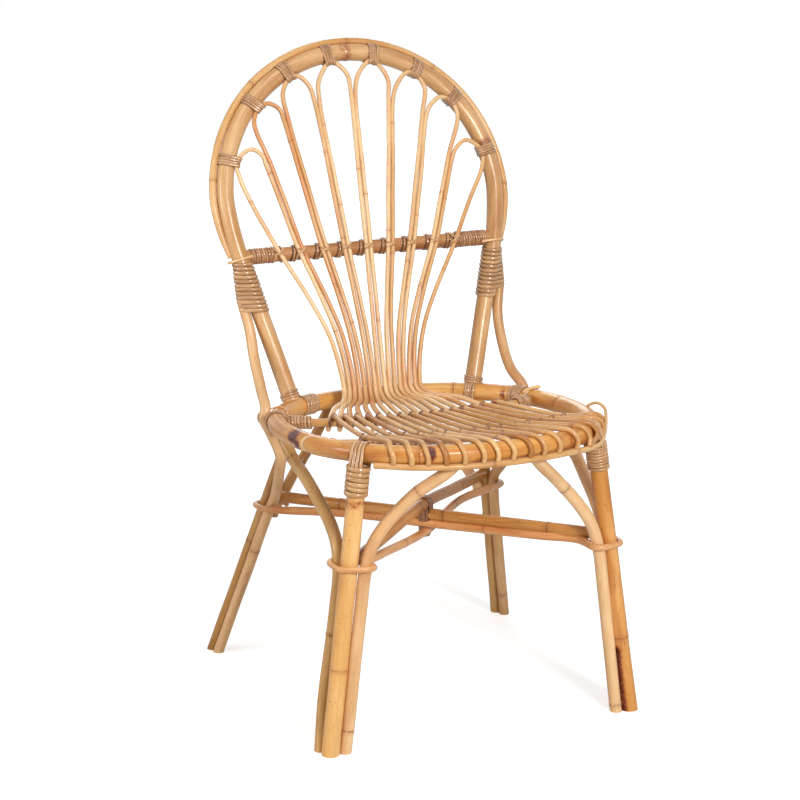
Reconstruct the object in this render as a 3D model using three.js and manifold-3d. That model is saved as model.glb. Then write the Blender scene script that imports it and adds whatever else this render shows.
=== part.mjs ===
// A rattan dining chair: a near-round seat ring on four lashed leg clusters, a leaning hoop back,
// and sixteen thin canes that fan down the back and run forward over the seat.
// Millimetres, +Z up, the chair faces -Y, the origin lies on the floor under the middle.
import * as THREE from 'three';
import Module from 'manifold-3d';

const wasm = await Module();
wasm.setup();

const degrees = THREE.MathUtils.degToRad;

// Driving sizes of the whole chair
const clearance = 0.35; // air between canes that are lashed together
const curve_error = 0.5; // how far a facet may cut inside a bend
const hook_slack = 0.9; // air round a cane that hooks over another
const binding_slack = 1.2; // air inside a hollow binding
const peel = 1.7; // thickness of a binding of rattan peel

// Seat ring: a thick cane bent near-round, a little square at the legs
const seat_height = 409;
const seat_half_width = 220;
const seat_half_depth = 226;
const seat_setback = -52; // where the ring's centre lies along Y
const seat_fall = 17; // the back of the ring lies this much lower than its front
const ring_cane = 27;
const ring_roundness = 2.3; // 2 is an ellipse, more is squarer

// Back hoop: an arch on two posts that lean back and come together downwards
const back_lean = degrees(16.74);
const hoop_foot_y = 9; // where the leaning plane of the back meets the floor
const hoop_radius = seat_half_width; // the arch is as wide as the seat
const hoop_centre_rise = 736; // measured up the leaning plane
const hoop_cane = 26;
const knee_rise = 650;
const knee_half_width = hoop_radius - 13;
const post_foot_angle = degrees(52.3); // round the ring, from +X towards the back
const post_foot_set = 5; // outside the ring's centre line
const outer_cane = 12;
const outer_end_rise = 651;

// Crossbar and the canes of the back
const crossbar_rise = 655;
const crossbar_tilt = 4; // its right end lies this much higher than its middle, its left end lower
const crossbar_cane = 20;
const crossbar_wrap = 1.4;
const crossbar_bare = 12; // unwrapped at each end
const back_cane = 6.8;
const bundle_gap = 1.5;
const bundle_rise = 454;
const bundle_shift = -9; // the fan leans a little to one side on its way down
const crown_seat_angle = degrees(43); // where a crown lies round the hoop's section

// Seat bars and the canes of the seat
const seat_bar_cane = 12;
const rear_bar_end_angle = degrees(24.5);
const rear_bar_middle = 10; // behind the ring's centre
const front_bar_end_angle = degrees(-19.5);
const front_bar_middle = -132;
const seat_cane = 6.5;
const hook_gap = 0.8; // between a back cane's end and the seat cane hooked beside it
const rim_cane = 9;
const rim_out = 11.5;
const rim_drop = 23.5;
const bar_tie = 3.6;

// Legs
const front_leg_cane = 25;
const front_foot_x = 231;
const front_foot_y = -238;
const front_leg_angle = degrees(-42.5);
const front_leg_set = 8; // the leg's axis runs this far outside the ring's centre line
const rear_leg_cane = 18;
const rear_foot_x_left = 247; // the hand-made chair stands a little wider on this side
const rear_foot_x_right = 241;
const rear_foot_y = 243;
const rear_leg_angle = degrees(48.5);
const rear_leg_set = -11;

// Canes lashed to the legs
const brace_cane = 17;
const rear_brace_cane = 16;
const side_cane = 16;
const side_cane_angle = degrees(33);
const side_cane_top_cane = 9;
const front_brace_end_angle = degrees(-77.7);
const front_brace_set = -3;
const side_brace_end_angles = { '-1': degrees(20), 1: degrees(-5) }; // the right one stands steeper
const rear_brace_end_angle = degrees(72);

// Stretchers
const stretcher_cane = 17;
const stretcher_height = 262.5;
const brace_bend_height = stretcher_height - stretcher_cane;
const rear_brace_stub_height = brace_bend_height - rear_brace_cane;
const tie_cane = 12;
const tie_loop_cane = 9;
const tie_sweep = degrees(250);

// Bindings of peel
const hoop_binding_length = 17;
const junction_binding_top_rise = 639.5;
const junction_binding_length = 70.5;
const leg_binding_length = 60;
const leg_strap_length = 15;
const post_strap_length = 52;
const post_strap_angle = degrees(60);

const colours = {
  frame: 0xd79a52,
  thin: 0xe2b478,
  leg: 0xd8983f,
  peel: 0x9c7a58,
  tie: 0xd2975c,
};

const up = new THREE.Vector3(0, 0, 1);
const backwards = new THREE.Vector3(0, 1, 0);
const half = 0.5;

// Points of the seat's tilted plane: across, behind the ring's centre, and above the plane
const seat_tilt = Math.atan2(seat_fall * half, seat_half_depth);

function seatPoint(across, behind, lift = 0) {
  return new THREE.Vector3(
    across,
    seat_setback + behind * Math.cos(seat_tilt) + lift * Math.sin(seat_tilt),
    seat_height - behind * Math.sin(seat_tilt) + lift * Math.cos(seat_tilt),
  );
}

function ringReach(angle) {
  const across = Math.abs(Math.cos(angle)) / seat_half_width;
  const along = Math.abs(Math.sin(angle)) / seat_half_depth;
  return (across ** ring_roundness + along ** ring_roundness) ** (-1 / ring_roundness);
}

function ringPoint(side, angle, out = 0, lift = 0) {
  const reach = ringReach(angle) + out;
  return seatPoint(side * reach * Math.cos(angle), reach * Math.sin(angle), lift);
}

// The angle of the front rail's point that lies this far across
function railAngle(across) {
  const share = Math.abs(across) / seat_half_width;
  const along = -seat_half_depth * (1 - share ** ring_roundness) ** (1 / ring_roundness);
  return Math.atan2(along, Math.abs(across));
}

// Points of the leaning plane of the back: across, up the plane, and in front of it
function backPoint(across, rise, front = 0) {
  return new THREE.Vector3(
    across,
    hoop_foot_y + rise * Math.sin(back_lean) - front * Math.cos(back_lean),
    rise * Math.cos(back_lean) + front * Math.sin(back_lean),
  );
}

// Solids
function loft(rings, closed = false) {
  const count = rings[0].length;
  const vertices = rings.flat().flatMap((point) => point.toArray());
  const triangles = [];
  const spans = closed ? rings.length : rings.length - 1;
  for (let ring = 0; ring < spans; ring += 1) {
    const near = ring * count;
    const far = ((ring + 1) % rings.length) * count;
    for (let side = 0; side < count; side += 1) {
      const next = (side + 1) % count;
      triangles.push(near + side, near + next, far + side);
      triangles.push(near + next, far + next, far + side);
    }
  }
  if (!closed) {
    const last = (rings.length - 1) * count;
    for (let side = 1; side < count - 1; side += 1) {
      triangles.push(0, side + 1, side);
      triangles.push(last, last + side, last + side + 1);
    }
  }
  const mesh = new wasm.Mesh({
    numProp: 3,
    vertProperties: new Float32Array(vertices),
    triVerts: new Uint32Array(triangles),
  });
  return new wasm.Manifold(mesh);
}

// Directions along a line of points, and a normal carried along it without twist
function frames(points, closed, reference) {
  const last = points.length - 1;
  const tangents = points.map((point, index) => {
    const before = points[closed ? (index + last) % points.length : Math.max(index - 1, 0)];
    const after = points[closed ? (index + 1) % points.length : Math.min(index + 1, last)];
    return after.clone().sub(before).normalize();
  });
  const normals = [];
  let normal = reference.clone();
  for (const tangent of tangents) {
    normal = normal.clone().addScaledVector(tangent, -normal.dot(tangent)).normalize();
    normals.push(normal);
  }
  return { tangents, normals };
}

// A cane is a route: points, a diameter or one for each point, its facets, and a side to face
function cane(points, diameter, facets, { closed = false, facing = up } = {}) {
  const diameters = Array.isArray(diameter) ? diameter : points.map(() => diameter);
  return { points, diameters, facets, closed, facing };
}

function solid(route, grow = 0) {
  const { tangents, normals } = frames(route.points, route.closed, route.facing);
  const rings = route.points.map((point, index) => {
    const radius = route.diameters[index] * half + grow;
    const side = new THREE.Vector3().crossVectors(tangents[index], normals[index]);
    return Array.from({ length: route.facets }, (_, facet) => {
      const angle = (facet / route.facets) * Math.PI * 2;
      return point.clone()
        .addScaledVector(normals[index], radius * Math.cos(angle))
        .addScaledVector(side, radius * Math.sin(angle));
    });
  });
  return loft(rings, route.closed);
}

// Whether a stretch of a line lies within the curve error of a straight run
function nearlyStraight(points, from, to) {
  const run = new THREE.Line3(points[from], points[to]);
  const nearest = new THREE.Vector3();
  return points.slice(from + 1, to).every((point) =>
    run.closestPointToPoint(point, true, nearest).distanceTo(point) <= curve_error);
}

// Keeps only the points of a line that its bends need
function thinned(points) {
  const kept = [points[0]];
  let from = 0;
  while (from < points.length - 1) {
    let to = from + 1;
    while (to + 1 < points.length && nearlyStraight(points, from, to + 1)) {
      to += 1;
    }
    kept.push(points[to]);
    from = to;
  }
  return kept;
}

function smooth(points) {
  const samples = 12 * (points.length - 1);
  return thinned(new THREE.CatmullRomCurve3(points).getPoints(samples));
}

// Cuts a standing cane off level with the floor
function standing(body) {
  return body.trimByPlane(up.toArray(), 0);
}

function cut(body, ...routes) {
  return routes.reduce((rest, route) => rest.subtract(solid(route, clearance)), body);
}

// The outline that a taut band has round several canes, seen along their length:
// each circle is its centre in the band's plane and a radius
function bandPoint(circles, angle, grow) {
  const direction = new THREE.Vector2(Math.cos(angle), Math.sin(angle));
  const reach = (circle) => circle.centre.dot(direction) + circle.radius;
  const widest = circles.reduce((best, circle) => (reach(circle) > reach(best) ? circle : best));
  return widest.centre.clone().addScaledVector(direction, widest.radius + grow);
}

// A binding round several canes: a solid band, from which the canes are then cut
function binding(stations, grow, facets) {
  const rings = stations.map(({ origin, right, ahead, circles }) =>
    Array.from({ length: facets }, (_, facet) => {
      const point = bandPoint(circles, (facet / facets) * Math.PI * 2, grow);
      return origin.clone().addScaledVector(right, point.x).addScaledVector(ahead, point.y);
    }));
  return loft(rings);
}

// A hollow binding, drawn tight round its canes and as thick as the peel
function sleeve(stations, facets) {
  const outline = ({ origin, right, ahead, circles }, grow) =>
    Array.from({ length: facets }, (_, facet) => {
      const point = bandPoint(circles, (facet / facets) * Math.PI * 2, grow);
      return origin.clone().addScaledVector(right, point.x).addScaledVector(ahead, point.y);
    });
  const outer_rings = stations.map((station) => outline(station, binding_slack + peel * half));
  const inner_rings = stations.map((station) => outline(station, binding_slack));
  return loft([...outer_rings, ...inner_rings.reverse()], true);
}

const chair = new THREE.Group();

function add(name, body, colour, roughness) {
  const { vertProperties, triVerts } = body.getMesh();
  const geometry = new THREE.BufferGeometry();
  geometry.setAttribute('position', new THREE.BufferAttribute(vertProperties, 3));
  geometry.setIndex(new THREE.BufferAttribute(triVerts, 1));
  geometry.computeVertexNormals();
  const material = new THREE.MeshStandardMaterial({ color: colour, roughness, metalness: 0 });
  const mesh = new THREE.Mesh(geometry, material);
  mesh.name = name;
  chair.add(mesh);
}

const sides = [['left', -1], ['right', 1]];

// Seat ring
function makeRing() {
  const steps = 40;
  const points = Array.from({ length: steps }, (_, step) => {
    const angle = (step / steps) * Math.PI * 2;
    const reach = ringReach(angle);
    return seatPoint(reach * Math.cos(angle), reach * Math.sin(angle));
  });
  return cane(points, ring_cane, 12, { closed: true });
}
const ring = makeRing();
add('seat_ring', solid(ring), colours.frame, 0.45);

function postFoot(side) {
  return ringPoint(side, post_foot_angle, post_foot_set);
}

// The centre line of one post below the arch, from the knee down to the ring
function postPoint(side, rise) {
  const foot = postFoot(side);
  const knee = backPoint(side * knee_half_width, knee_rise);
  const share = (knee_rise * Math.cos(back_lean) - rise * Math.cos(back_lean)) / (knee.z - foot.z);
  return knee.lerp(foot, share);
}

function hoopRoute(offset, end_rise, arch_steps) {
  const arch = Array.from({ length: arch_steps + 1 }, (_, step) => {
    const angle = Math.PI * (1 - step / arch_steps);
    const radius = hoop_radius + offset;
    return backPoint(radius * Math.cos(angle), hoop_centre_rise + radius * Math.sin(angle));
  });
  const bend_share = 0.52;
  const bend_in_share = 0.36;
  const post = (side) => {
    const bend = backPoint(
      side * (THREE.MathUtils.lerp(hoop_radius, knee_half_width, bend_in_share) + offset),
      THREE.MathUtils.lerp(hoop_centre_rise, knee_rise, bend_share),
    );
    if (end_rise >= knee_rise) {
      return [bend, backPoint(side * (knee_half_width + offset), end_rise)];
    }
    return [bend, postPoint(side, knee_rise), postFoot(side)];
  };
  return [...post(-1).reverse(), ...arch, ...post(1)];
}

const hoop = cane(hoopRoute(0, 0, 26), hoop_cane, 12, { facing: backwards });

// A short stretch of the ring's own route, for a strap that goes round it
function ringStretch(side, angle, length) {
  const spread = length * half / ringReach(angle);
  return [-1, 0, 1].map((step) => ringPoint(side, angle + step * spread));
}

function makeHoop() {
  let body = solid(hoop);
  for (const [, side] of sides) {
    const strap = cane(ringStretch(side, post_strap_angle, post_strap_length), ring_cane, 12);
    body = body.add(solid(strap, clearance + peel));
  }
  return cut(body, ring);
}
add('back_hoop', makeHoop(), colours.frame, 0.45);

// Outer cane, which hugs the outside of the hoop over its bindings
const outer_offset = (hoop_cane + outer_cane) * half + binding_slack + peel * half + clearance * 2;
const outer = cane(hoopRoute(outer_offset, outer_end_rise, 26), outer_cane, 8, { facing: backwards });
add('outer_hoop_cane', solid(outer), colours.thin, 0.5);

// Crossbar with its wrapping of peel, and the tie that carries each end round the hoop
function makeCrossbar() {
  const inner = hoopHalfWidth(crossbar_rise);
  const bare = inner - hoop_cane * half - crossbar_bare;
  const stops = [-inner, -bare, -bare, bare, bare, inner];
  const wrapped = crossbar_cane + crossbar_wrap * 2;
  const diameters = [crossbar_cane, crossbar_cane, wrapped, wrapped, crossbar_cane, crossbar_cane];
  const ease = crossbar_wrap;
  const places = stops.map((stop, index) => stop + [0, 0, ease, -ease, 0, 0][index]);
  const points = places.map((place) => backPoint(place, crossbarRise(place / inner)));
  let body = solid(cane(points, diameters, 10));
  for (const [, side] of sides) {
    const station = (rise) => ({
      origin: backPoint(side * inner, rise),
      right: new THREE.Vector3(1, 0, 0),
      ahead: backPoint(0, 0, -1).sub(backPoint(0, 0)),
      circles: [
        { centre: new THREE.Vector2(0, 0), radius: hoop_cane * half },
        { centre: new THREE.Vector2(side * outer_offset, 0), radius: outer_cane * half },
      ],
    });
    const tie = [-1, 1].map((step) => station(crossbarRise(side) + step * bar_tie));
    body = body.add(binding(tie, clearance + peel * 2, 12));
  }
  return cut(body, hoop, outer);
}

// How high the crossbar runs at a share of the way from its middle to its right end
function crossbarRise(share) {
  return crossbar_rise + crossbar_tilt * share;
}

// Half the hoop's width at a rise between its knee and the arch
function hoopHalfWidth(rise) {
  return THREE.MathUtils.mapLinear(rise, knee_rise, hoop_centre_rise, knee_half_width, hoop_radius);
}
add('crossbar', makeCrossbar(), colours.frame, 0.5);

// Seat bars: two canes bowed forwards in the plane of the ring
const bow_power = 1.6;

function seatBar(end_angle, middle) {
  const reach = ringReach(end_angle);
  const half_length = reach * Math.cos(end_angle);
  const bow = reach * Math.sin(end_angle) - middle;
  const behind = (across) => middle + bow * Math.abs(across / half_length) ** bow_power;
  const slope = (across) => bow * bow_power * Math.abs(across / half_length) ** (bow_power - 1)
    * Math.sign(across) / half_length;
  const beside = (across, front, lift) => {
    const run = Math.hypot(1, slope(across));
    return seatPoint(
      across + front * slope(across) / run,
      behind(across) - front / run,
      lift,
    );
  };
  const steps = 14;
  const points = Array.from({ length: steps + 1 }, (_, step) => {
    const across = half_length * (step / steps * 2 - 1);
    return seatPoint(across, behind(across));
  });
  const inner_end = half_length - ring_cane * half;
  const tie_angle = Math.atan2(behind(inner_end), inner_end);
  return { route: cane(points, seat_bar_cane, 8), beside, inner_end, tie_angle };
}

function makeSeatBar(bar) {
  let body = solid(bar.route);
  for (const [, side] of sides) {
    const strap = cane(ringStretch(side, bar.tie_angle, bar_tie), ring_cane, 12);
    body = body.add(solid(strap, clearance + peel));
  }
  return cut(body, ring);
}

const rear_bar = seatBar(rear_bar_end_angle, rear_bar_middle);
const front_bar = seatBar(front_bar_end_angle, front_bar_middle);
add('seat_bar_rear', makeSeatBar(rear_bar), colours.tie, 0.5);
add('seat_bar_front', makeSeatBar(front_bar), colours.tie, 0.5);

// Where the sixteen canes hook on the rear bar, as shares of the least pitch of two hooks
const hook_pitch = seat_cane + back_cane + hook_gap * 2;
const hook_beside_share = 0.25; // a seat cane's hook lies this far beside its place
const rear_hook_shares = [
  -9.2, -8.2, -7.2, -6.2, -5.2, -4.2, -3.15, -2.1,
  -1.05, 0, 1.15, 2.3, 3.5, 4.75, 6.25, 7.95,
];

// Where they lie over the front bar and cross the front rail, as shares of the seat's half width
const front_bar_shares = [
  -0.67, -0.59, -0.51, -0.421, -0.332, -0.243, -0.159, -0.061,
  0.037, 0.136, 0.229, 0.34, 0.45, 0.55, 0.65, 0.755,
];
const rail_shares = [
  -0.618, -0.527, -0.441, -0.341, -0.234, -0.123, -0.036, 0.065,
  0.177, 0.268, 0.384, 0.523, 0.641, 0.727, 0.835, 0.9,
];

// Front rim: a thin cane under the front of the ring that carries the tips of the seat canes.
// It swings out round the right leg. Degrees from the front, then shares of its reach and drop
const rim_places = [-42, -28, -14, 0, 14, 26, 38, 47.5, 56, 63];
const rim_out_shares = [1, 1, 1, 1, 1, 1.05, 2, 2.7, 2.4, 2];
const rim_drop_shares = [1, 1, 1, 1, 1, 0.97, 0.8, 0.6, 0.5, 0.45];

const rim_line = new THREE.CatmullRomCurve3(rim_places.map((place, index) => ringPoint(
  1,
  degrees(place) - Math.PI * half,
  rim_out * rim_out_shares[index],
  -rim_drop * rim_drop_shares[index],
)));
const rim = cane(thinned(rim_line.getPoints(120)), rim_cane, 8);
add('front_rim', solid(rim), colours.thin, 0.5);

// The rim's point straight below a cane that comes over the rail at this place
function rimBelow(across) {
  const samples = 400;
  const plan = railPoint(across, rim_out, 0);
  const turn = (point) => Math.atan2(point.x, seat_setback - point.y);
  const points = rim_line.getPoints(samples);
  return points.reduce((best, point) =>
    (Math.abs(turn(point) - turn(plan)) < Math.abs(turn(best) - turn(plan)) ? point : best));
}

function railPoint(across, out, lift) {
  return ringPoint(Math.sign(across) || 1, railAngle(across), out, lift);
}

// One cane of the seat: a hook over the rear bar, over the front bar and the rail, down to the rim
function seatStrand(index) {
  const on_rear = hook_pitch * (rear_hook_shares[index] + hook_beside_share);
  const on_front = seat_half_width * front_bar_shares[index];
  const on_rail = seat_half_width * rail_shares[index];
  const bar_reach = (seat_bar_cane + seat_cane) * half + hook_slack;
  const rail_reach = (ring_cane + seat_cane) * half + hook_slack;
  const hook = [205, 175, 145, 115, 90].map((place) => rear_bar.beside(
    on_rear,
    bar_reach * Math.cos(degrees(place)),
    bar_reach * Math.sin(degrees(place)),
  ));
  const over_front = front_bar.beside(on_front, 0, bar_reach);
  const over_rail = [100, 65, 28, -5].map((place) => railPoint(
    on_rail,
    rail_reach * Math.cos(degrees(place)),
    rail_reach * Math.sin(degrees(place)),
  ));
  return cane(smooth([...hook, over_front, ...over_rail, rimBelow(on_rail)]), seat_cane, 5);
}

rear_hook_shares.forEach((_, index) => {
  const name = `seat_strand_${String(index + 1).padStart(2, '0')}`;
  add(name, cut(solid(seatStrand(index)), rim), colours.thin, 0.5);
});

// The canes of the back: eight inverted loops, whose sixteen legs cross the front of the crossbar,
// gather into a bundle and turn forwards to the rear seat bar
const crossing_shares = [-0.684, -0.5245, -0.3535, -0.192, -0.03, 0.132, 0.2935, 0.4645, 0.624];
const gather_rise_shares = [0.63, 0.38, 0.18, 0];
const gather_shares = [0.5, 0.79, 0.93, 1];
const turn_behind_shares = [0.757, 0.68, 0.45];
const turn_lift_shares = [0.68, 0.33, 0.3];
const turn_spread_shares = [0, 0.12, 0.62];
const strand_front = (crossbar_cane + back_cane) * half + crossbar_wrap + clearance;

// Above the crossbar two neighbouring legs run side by side up to where their loops part
const parting_shares = [
  [-0.82, -0.065], [-0.6875, 0.23], [-0.527, 0.545], [-0.285, 0.66], [-0.012, 0.72],
  [0.265, 0.66], [0.507, 0.545], [0.6675, 0.23], [0.785, -0.065],
];

function besidePair(index, share, slack) {
  const knot = Math.ceil(index * half);
  const alone = knot === 0 || knot === crossing_shares.length - 1;
  const aside = alone ? 0 : (back_cane + slack) * half * (index % 2 ? -1 : 1);
  return hoop_radius * share + aside;
}

function crossingPlace(index) {
  return besidePair(index, crossing_shares[Math.ceil(index * half)], clearance * 2);
}

function backLeg(index) {
  const crossing = crossingPlace(index);
  const middle = (rear_hook_shares.length - 1) * half;
  const bundled = (index - middle) * (back_cane + bundle_gap) + bundle_shift;
  const hooked = hook_pitch * (rear_hook_shares[index] - hook_beside_share);
  const reach = (seat_bar_cane + back_cane) * half + hook_slack;
  const under = [290, 265, 240, 215, 195].map((place) => rear_bar.beside(
    hooked,
    reach * Math.cos(degrees(place)),
    reach * Math.sin(degrees(place)),
  ));
  const turned = turn_behind_shares.map((share, step) => seatPoint(
    THREE.MathUtils.lerp(bundled, hooked, turn_spread_shares[step]),
    seat_half_depth * share,
    ring_cane * turn_lift_shares[step],
  )).reverse();
  const gathered = gather_rise_shares.map((share, step) => backPoint(
    THREE.MathUtils.lerp(crossing, bundled, gather_shares[step]),
    THREE.MathUtils.lerp(bundle_rise, crossbar_rise, share),
    strand_front,
  )).reverse();
  return [...under, ...turned, ...gathered, backPoint(crossing, crossbar_rise, strand_front)];
}

// Crowns, as shares of the hoop's radius from its centre: outer shoulder, apex, inner shoulder;
// the crown touches the hoop between the first two, where it is bound
const crown_shares = [
  { touch: 16, outer: [0.9, 0.15], apex: [0.8, 0.34], inner: [0.722, 0.292] },
  { touch: 41.4, outer: [0.757, 0.525], apex: [0.637, 0.652], inner: [0.562, 0.604] },
  { touch: 61, outer: [0.526, 0.725], apex: [0.4, 0.832], inner: [0.33, 0.765] },
  { touch: 80.5, outer: [0.255, 0.8], apex: [0.112, 0.913], inner: [0.042, 0.835] },
];
const crown_seat = (hoop_cane + back_cane) * half + clearance;
const crown_reach = hoop_radius - crown_seat * Math.cos(crown_seat_angle);
const crown_front = crown_seat * Math.sin(crown_seat_angle);

function backLoop(index) {
  const side = index < 4 ? -1 : 1;
  const rank = side < 0 ? index : 7 - index;
  const shares = crown_shares[rank];
  const touch = degrees(shares.touch);
  const place = (share) => backPoint(
    side * hoop_radius * share[0],
    hoop_centre_rise + hoop_radius * share[1],
    crown_front,
  );
  const seat = backPoint(
    side * crown_reach * Math.cos(touch),
    hoop_centre_rise + crown_reach * Math.sin(touch),
    crown_front,
  );
  const crown = [place(shares.outer), seat, place(shares.apex), place(shares.inner)];
  const legs = side < 0 ? [index * 2, index * 2 + 1] : [index * 2 + 1, index * 2];
  const [rising, falling] = legs.map((leg) => {
    const route = backLeg(leg);
    const [across, rise] = parting_shares[Math.ceil(leg * half)];
    const parting = backPoint(
      besidePair(leg, across, binding_slack * 2),
      hoop_centre_rise + hoop_radius * rise,
      crown_front,
    );
    return [...route, route[route.length - 1].clone().lerp(parting, half), parting];
  });
  const points = [...rising, ...crown, ...falling.reverse()];
  return { route: cane(smooth(points), back_cane, 5), side, touch };
}

// A few turns of peel that hold a crown to the hoop: a band drawn round both at each of its ends
function hoopBinding(loop) {
  const inwards = backPoint(0, 0, -1).sub(backPoint(0, 0));
  const centre = backPoint(0, hoop_centre_rise);
  const stations = [-1, 1].map((step) => {
    const angle = loop.touch + step * hoop_binding_length * half / hoop_radius;
    const right = backPoint(loop.side * Math.cos(angle), Math.sin(angle)).sub(backPoint(0, 0));
    const origin = centre.clone().addScaledVector(right, hoop_radius);
    const ahead = new THREE.Vector3().crossVectors(inwards, right);
    const crown = passing(loop.route.points, origin, ahead).sub(origin);
    return {
      origin,
      right,
      ahead: inwards,
      circles: [
        { centre: new THREE.Vector2(0, 0), radius: hoop_cane * half },
        { centre: new THREE.Vector2(crown.dot(right), crown.dot(inwards)), radius: back_cane * half },
      ],
    };
  });
  return sleeve(loop.side > 0 ? stations : stations.reverse(), 16);
}

// The point, of those where a line passes through a plane, that lies nearest the plane's origin
function passing(points, origin, normal) {
  const height = (point) => point.clone().sub(origin).dot(normal);
  let best = points[0];
  points.slice(1).forEach((to, index) => {
    const from = points[index];
    const [start, end] = [height(from), height(to)];
    if (start * end <= 0 && start !== end) {
      const point = from.clone().lerp(to, start / (start - end));
      best = point.distanceTo(origin) < best.distanceTo(origin) ? point : best;
    }
  });
  return best.clone();
}

for (let index = 0; index < 8; index += 1) {
  const loop = backLoop(index);
  add(`back_loop_${index + 1}`, solid(loop.route), colours.thin, 0.5);
  add(`hoop_binding_${index + 1}`, hoopBinding(loop), colours.peel, 0.4);
}

// Legs. Their feet run on below the floor and are cut off level with it
const below_floor = -front_leg_cane;
const leg_top_share = 0.15;

function frontLegTop(side) {
  return ringPoint(side, front_leg_angle, front_leg_set, -ring_cane * leg_top_share);
}

function rearLegTop(side) {
  return ringPoint(side, rear_leg_angle, rear_leg_set, -ring_cane * leg_top_share);
}

function legPoint(side, height, foot_x, foot_y, top) {
  const foot = new THREE.Vector3(side * foot_x, foot_y, 0);
  return foot.clone().lerp(top, height / top.z);
}

function frontLegPoint(side, height) {
  return legPoint(side, height, front_foot_x, front_foot_y, frontLegTop(side));
}

function rearLegPoint(side, height) {
  const foot_x = side < 0 ? rear_foot_x_left : rear_foot_x_right;
  return legPoint(side, height, foot_x, rear_foot_y, rearLegTop(side));
}

// A place beside a leg: the turn is measured from straight outwards towards the front
function beside(point, side, turn, distance) {
  return point.clone().add(new THREE.Vector3(
    side * distance * Math.cos(turn),
    -distance * Math.sin(turn),
    0,
  ));
}

const frontLeg = (side) => cane(
  [frontLegPoint(side, below_floor), frontLegTop(side)],
  front_leg_cane,
  12,
  { facing: backwards },
);
const rearLeg = (side) => cane(
  [rearLegPoint(side, below_floor), rearLegTop(side)],
  rear_leg_cane,
  12,
  { facing: backwards },
);

// Braces run up beside a leg to the tie and then bend away to the ring. The bend is given as
// shares of the way up, along and sideways from the tie to the ring
const brace_height_shares = [0, 0.3, 0.65, 0.85, 1];
const front_brace_turns = [180, 172, 163, 158, 156];
const front_brace_bow_shares = [1, 1, 1, 1.02, 1.04];
const front_brace_shares = [[0.22, 0.085, -0.1], [0.4, 0.24, -0.1], [0.65, 0.55, 0.15], [0.86, 0.86, 0.79]];
const side_brace_turns = [-70, -86, -84, -80, -78];
const side_brace_bow_shares = [1, 1.75, 1.35, 1.12, 1.04];
const side_brace_shares = [
  [0.22, 0.044, -0.25], [0.38, 0.18, -0.4], [0.5, 0.367, -0.4], [0.64, 0.611, -0.3], [0.74, 0.825, -0.2],
];
const rear_brace_turn = degrees(163);
const rear_brace_shares = [[0.15, 0.16, 0.2], [0.3, 0.31, 0.5], [0.5, 0.54, 0.9]];

// Where a brace stands beside its leg at each of the heights
function besideLeg(legAt, side, spacing, turns, bow_shares) {
  const stops = brace_height_shares.map((share, index) => beside(
    legAt(side, brace_bend_height * share),
    side,
    degrees(turns[index]),
    spacing * bow_shares[index],
  ));
  const under_floor = stops[0].clone().lerp(stops[1], below_floor / stops[1].z);
  return [under_floor, ...stops];
}

function bentBrace(stops, end, shares, lengthwise) {
  const high = stops[stops.length - 1];
  const reach = end.clone().sub(high);
  const [along, across] = lengthwise ? ['y', 'x'] : ['x', 'y'];
  const bends = shares.map(([rise, run, aside]) => {
    const point = high.clone();
    point.z += reach.z * rise;
    point[along] += reach[along] * run;
    point[across] += reach[across] * aside;
    return point;
  });
  return smooth([...stops, ...bends, end]);
}

const leg_to_brace = (front_leg_cane + brace_cane) * half + hook_slack;

function frontBrace(side) {
  const stops = besideLeg(frontLegPoint, side, leg_to_brace, front_brace_turns, front_brace_bow_shares);
  const end = ringPoint(side, front_brace_end_angle, front_brace_set);
  return cane(bentBrace(stops, end, front_brace_shares, false), brace_cane, 8);
}

function sideBrace(side) {
  const stops = besideLeg(frontLegPoint, side, leg_to_brace, side_brace_turns, side_brace_bow_shares);
  const end = ringPoint(side, side_brace_end_angles[side]);
  return cane(bentBrace(stops, end, side_brace_shares, true), brace_cane, 8);
}

const leg_to_rear_brace = (rear_leg_cane + rear_brace_cane) * half + hook_slack * 2;

function rearBrace(side) {
  const stops = [rear_brace_stub_height, brace_bend_height].map((height) =>
    beside(rearLegPoint(side, height), side, rear_brace_turn, leg_to_rear_brace));
  const end = ringPoint(side, rear_brace_end_angle);
  return cane(bentBrace(stops, end, rear_brace_shares, false), rear_brace_cane, 8);
}

// Side canes: from the back's junction binding, round the outside of the ring, and down in front
// of the rear leg to the floor. The two feet stand differently, as the hand-made chair has them
const side_cane_turns = { '-1': [97, 98, 99, 100], 1: [73, 71, 69, 68] };
const side_cane_height_shares = [0.94, 0.6, 0.3, 0];
const upper_share_table = [[0.745, 0.888, -0.3], [0.489, 0.709, -0.33], [0.233, 0.362, -0.3]];
const lower_share_table = [[0.4, -0.15, 0.69], [0.62, 0.14, 0.78], [0.8, 0.5, 0.88]];
const side_cane_top_share = 0.3; // down the junction binding
const side_cane_touch_share = 0.79;
const above_tie_share = 1.2;

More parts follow.
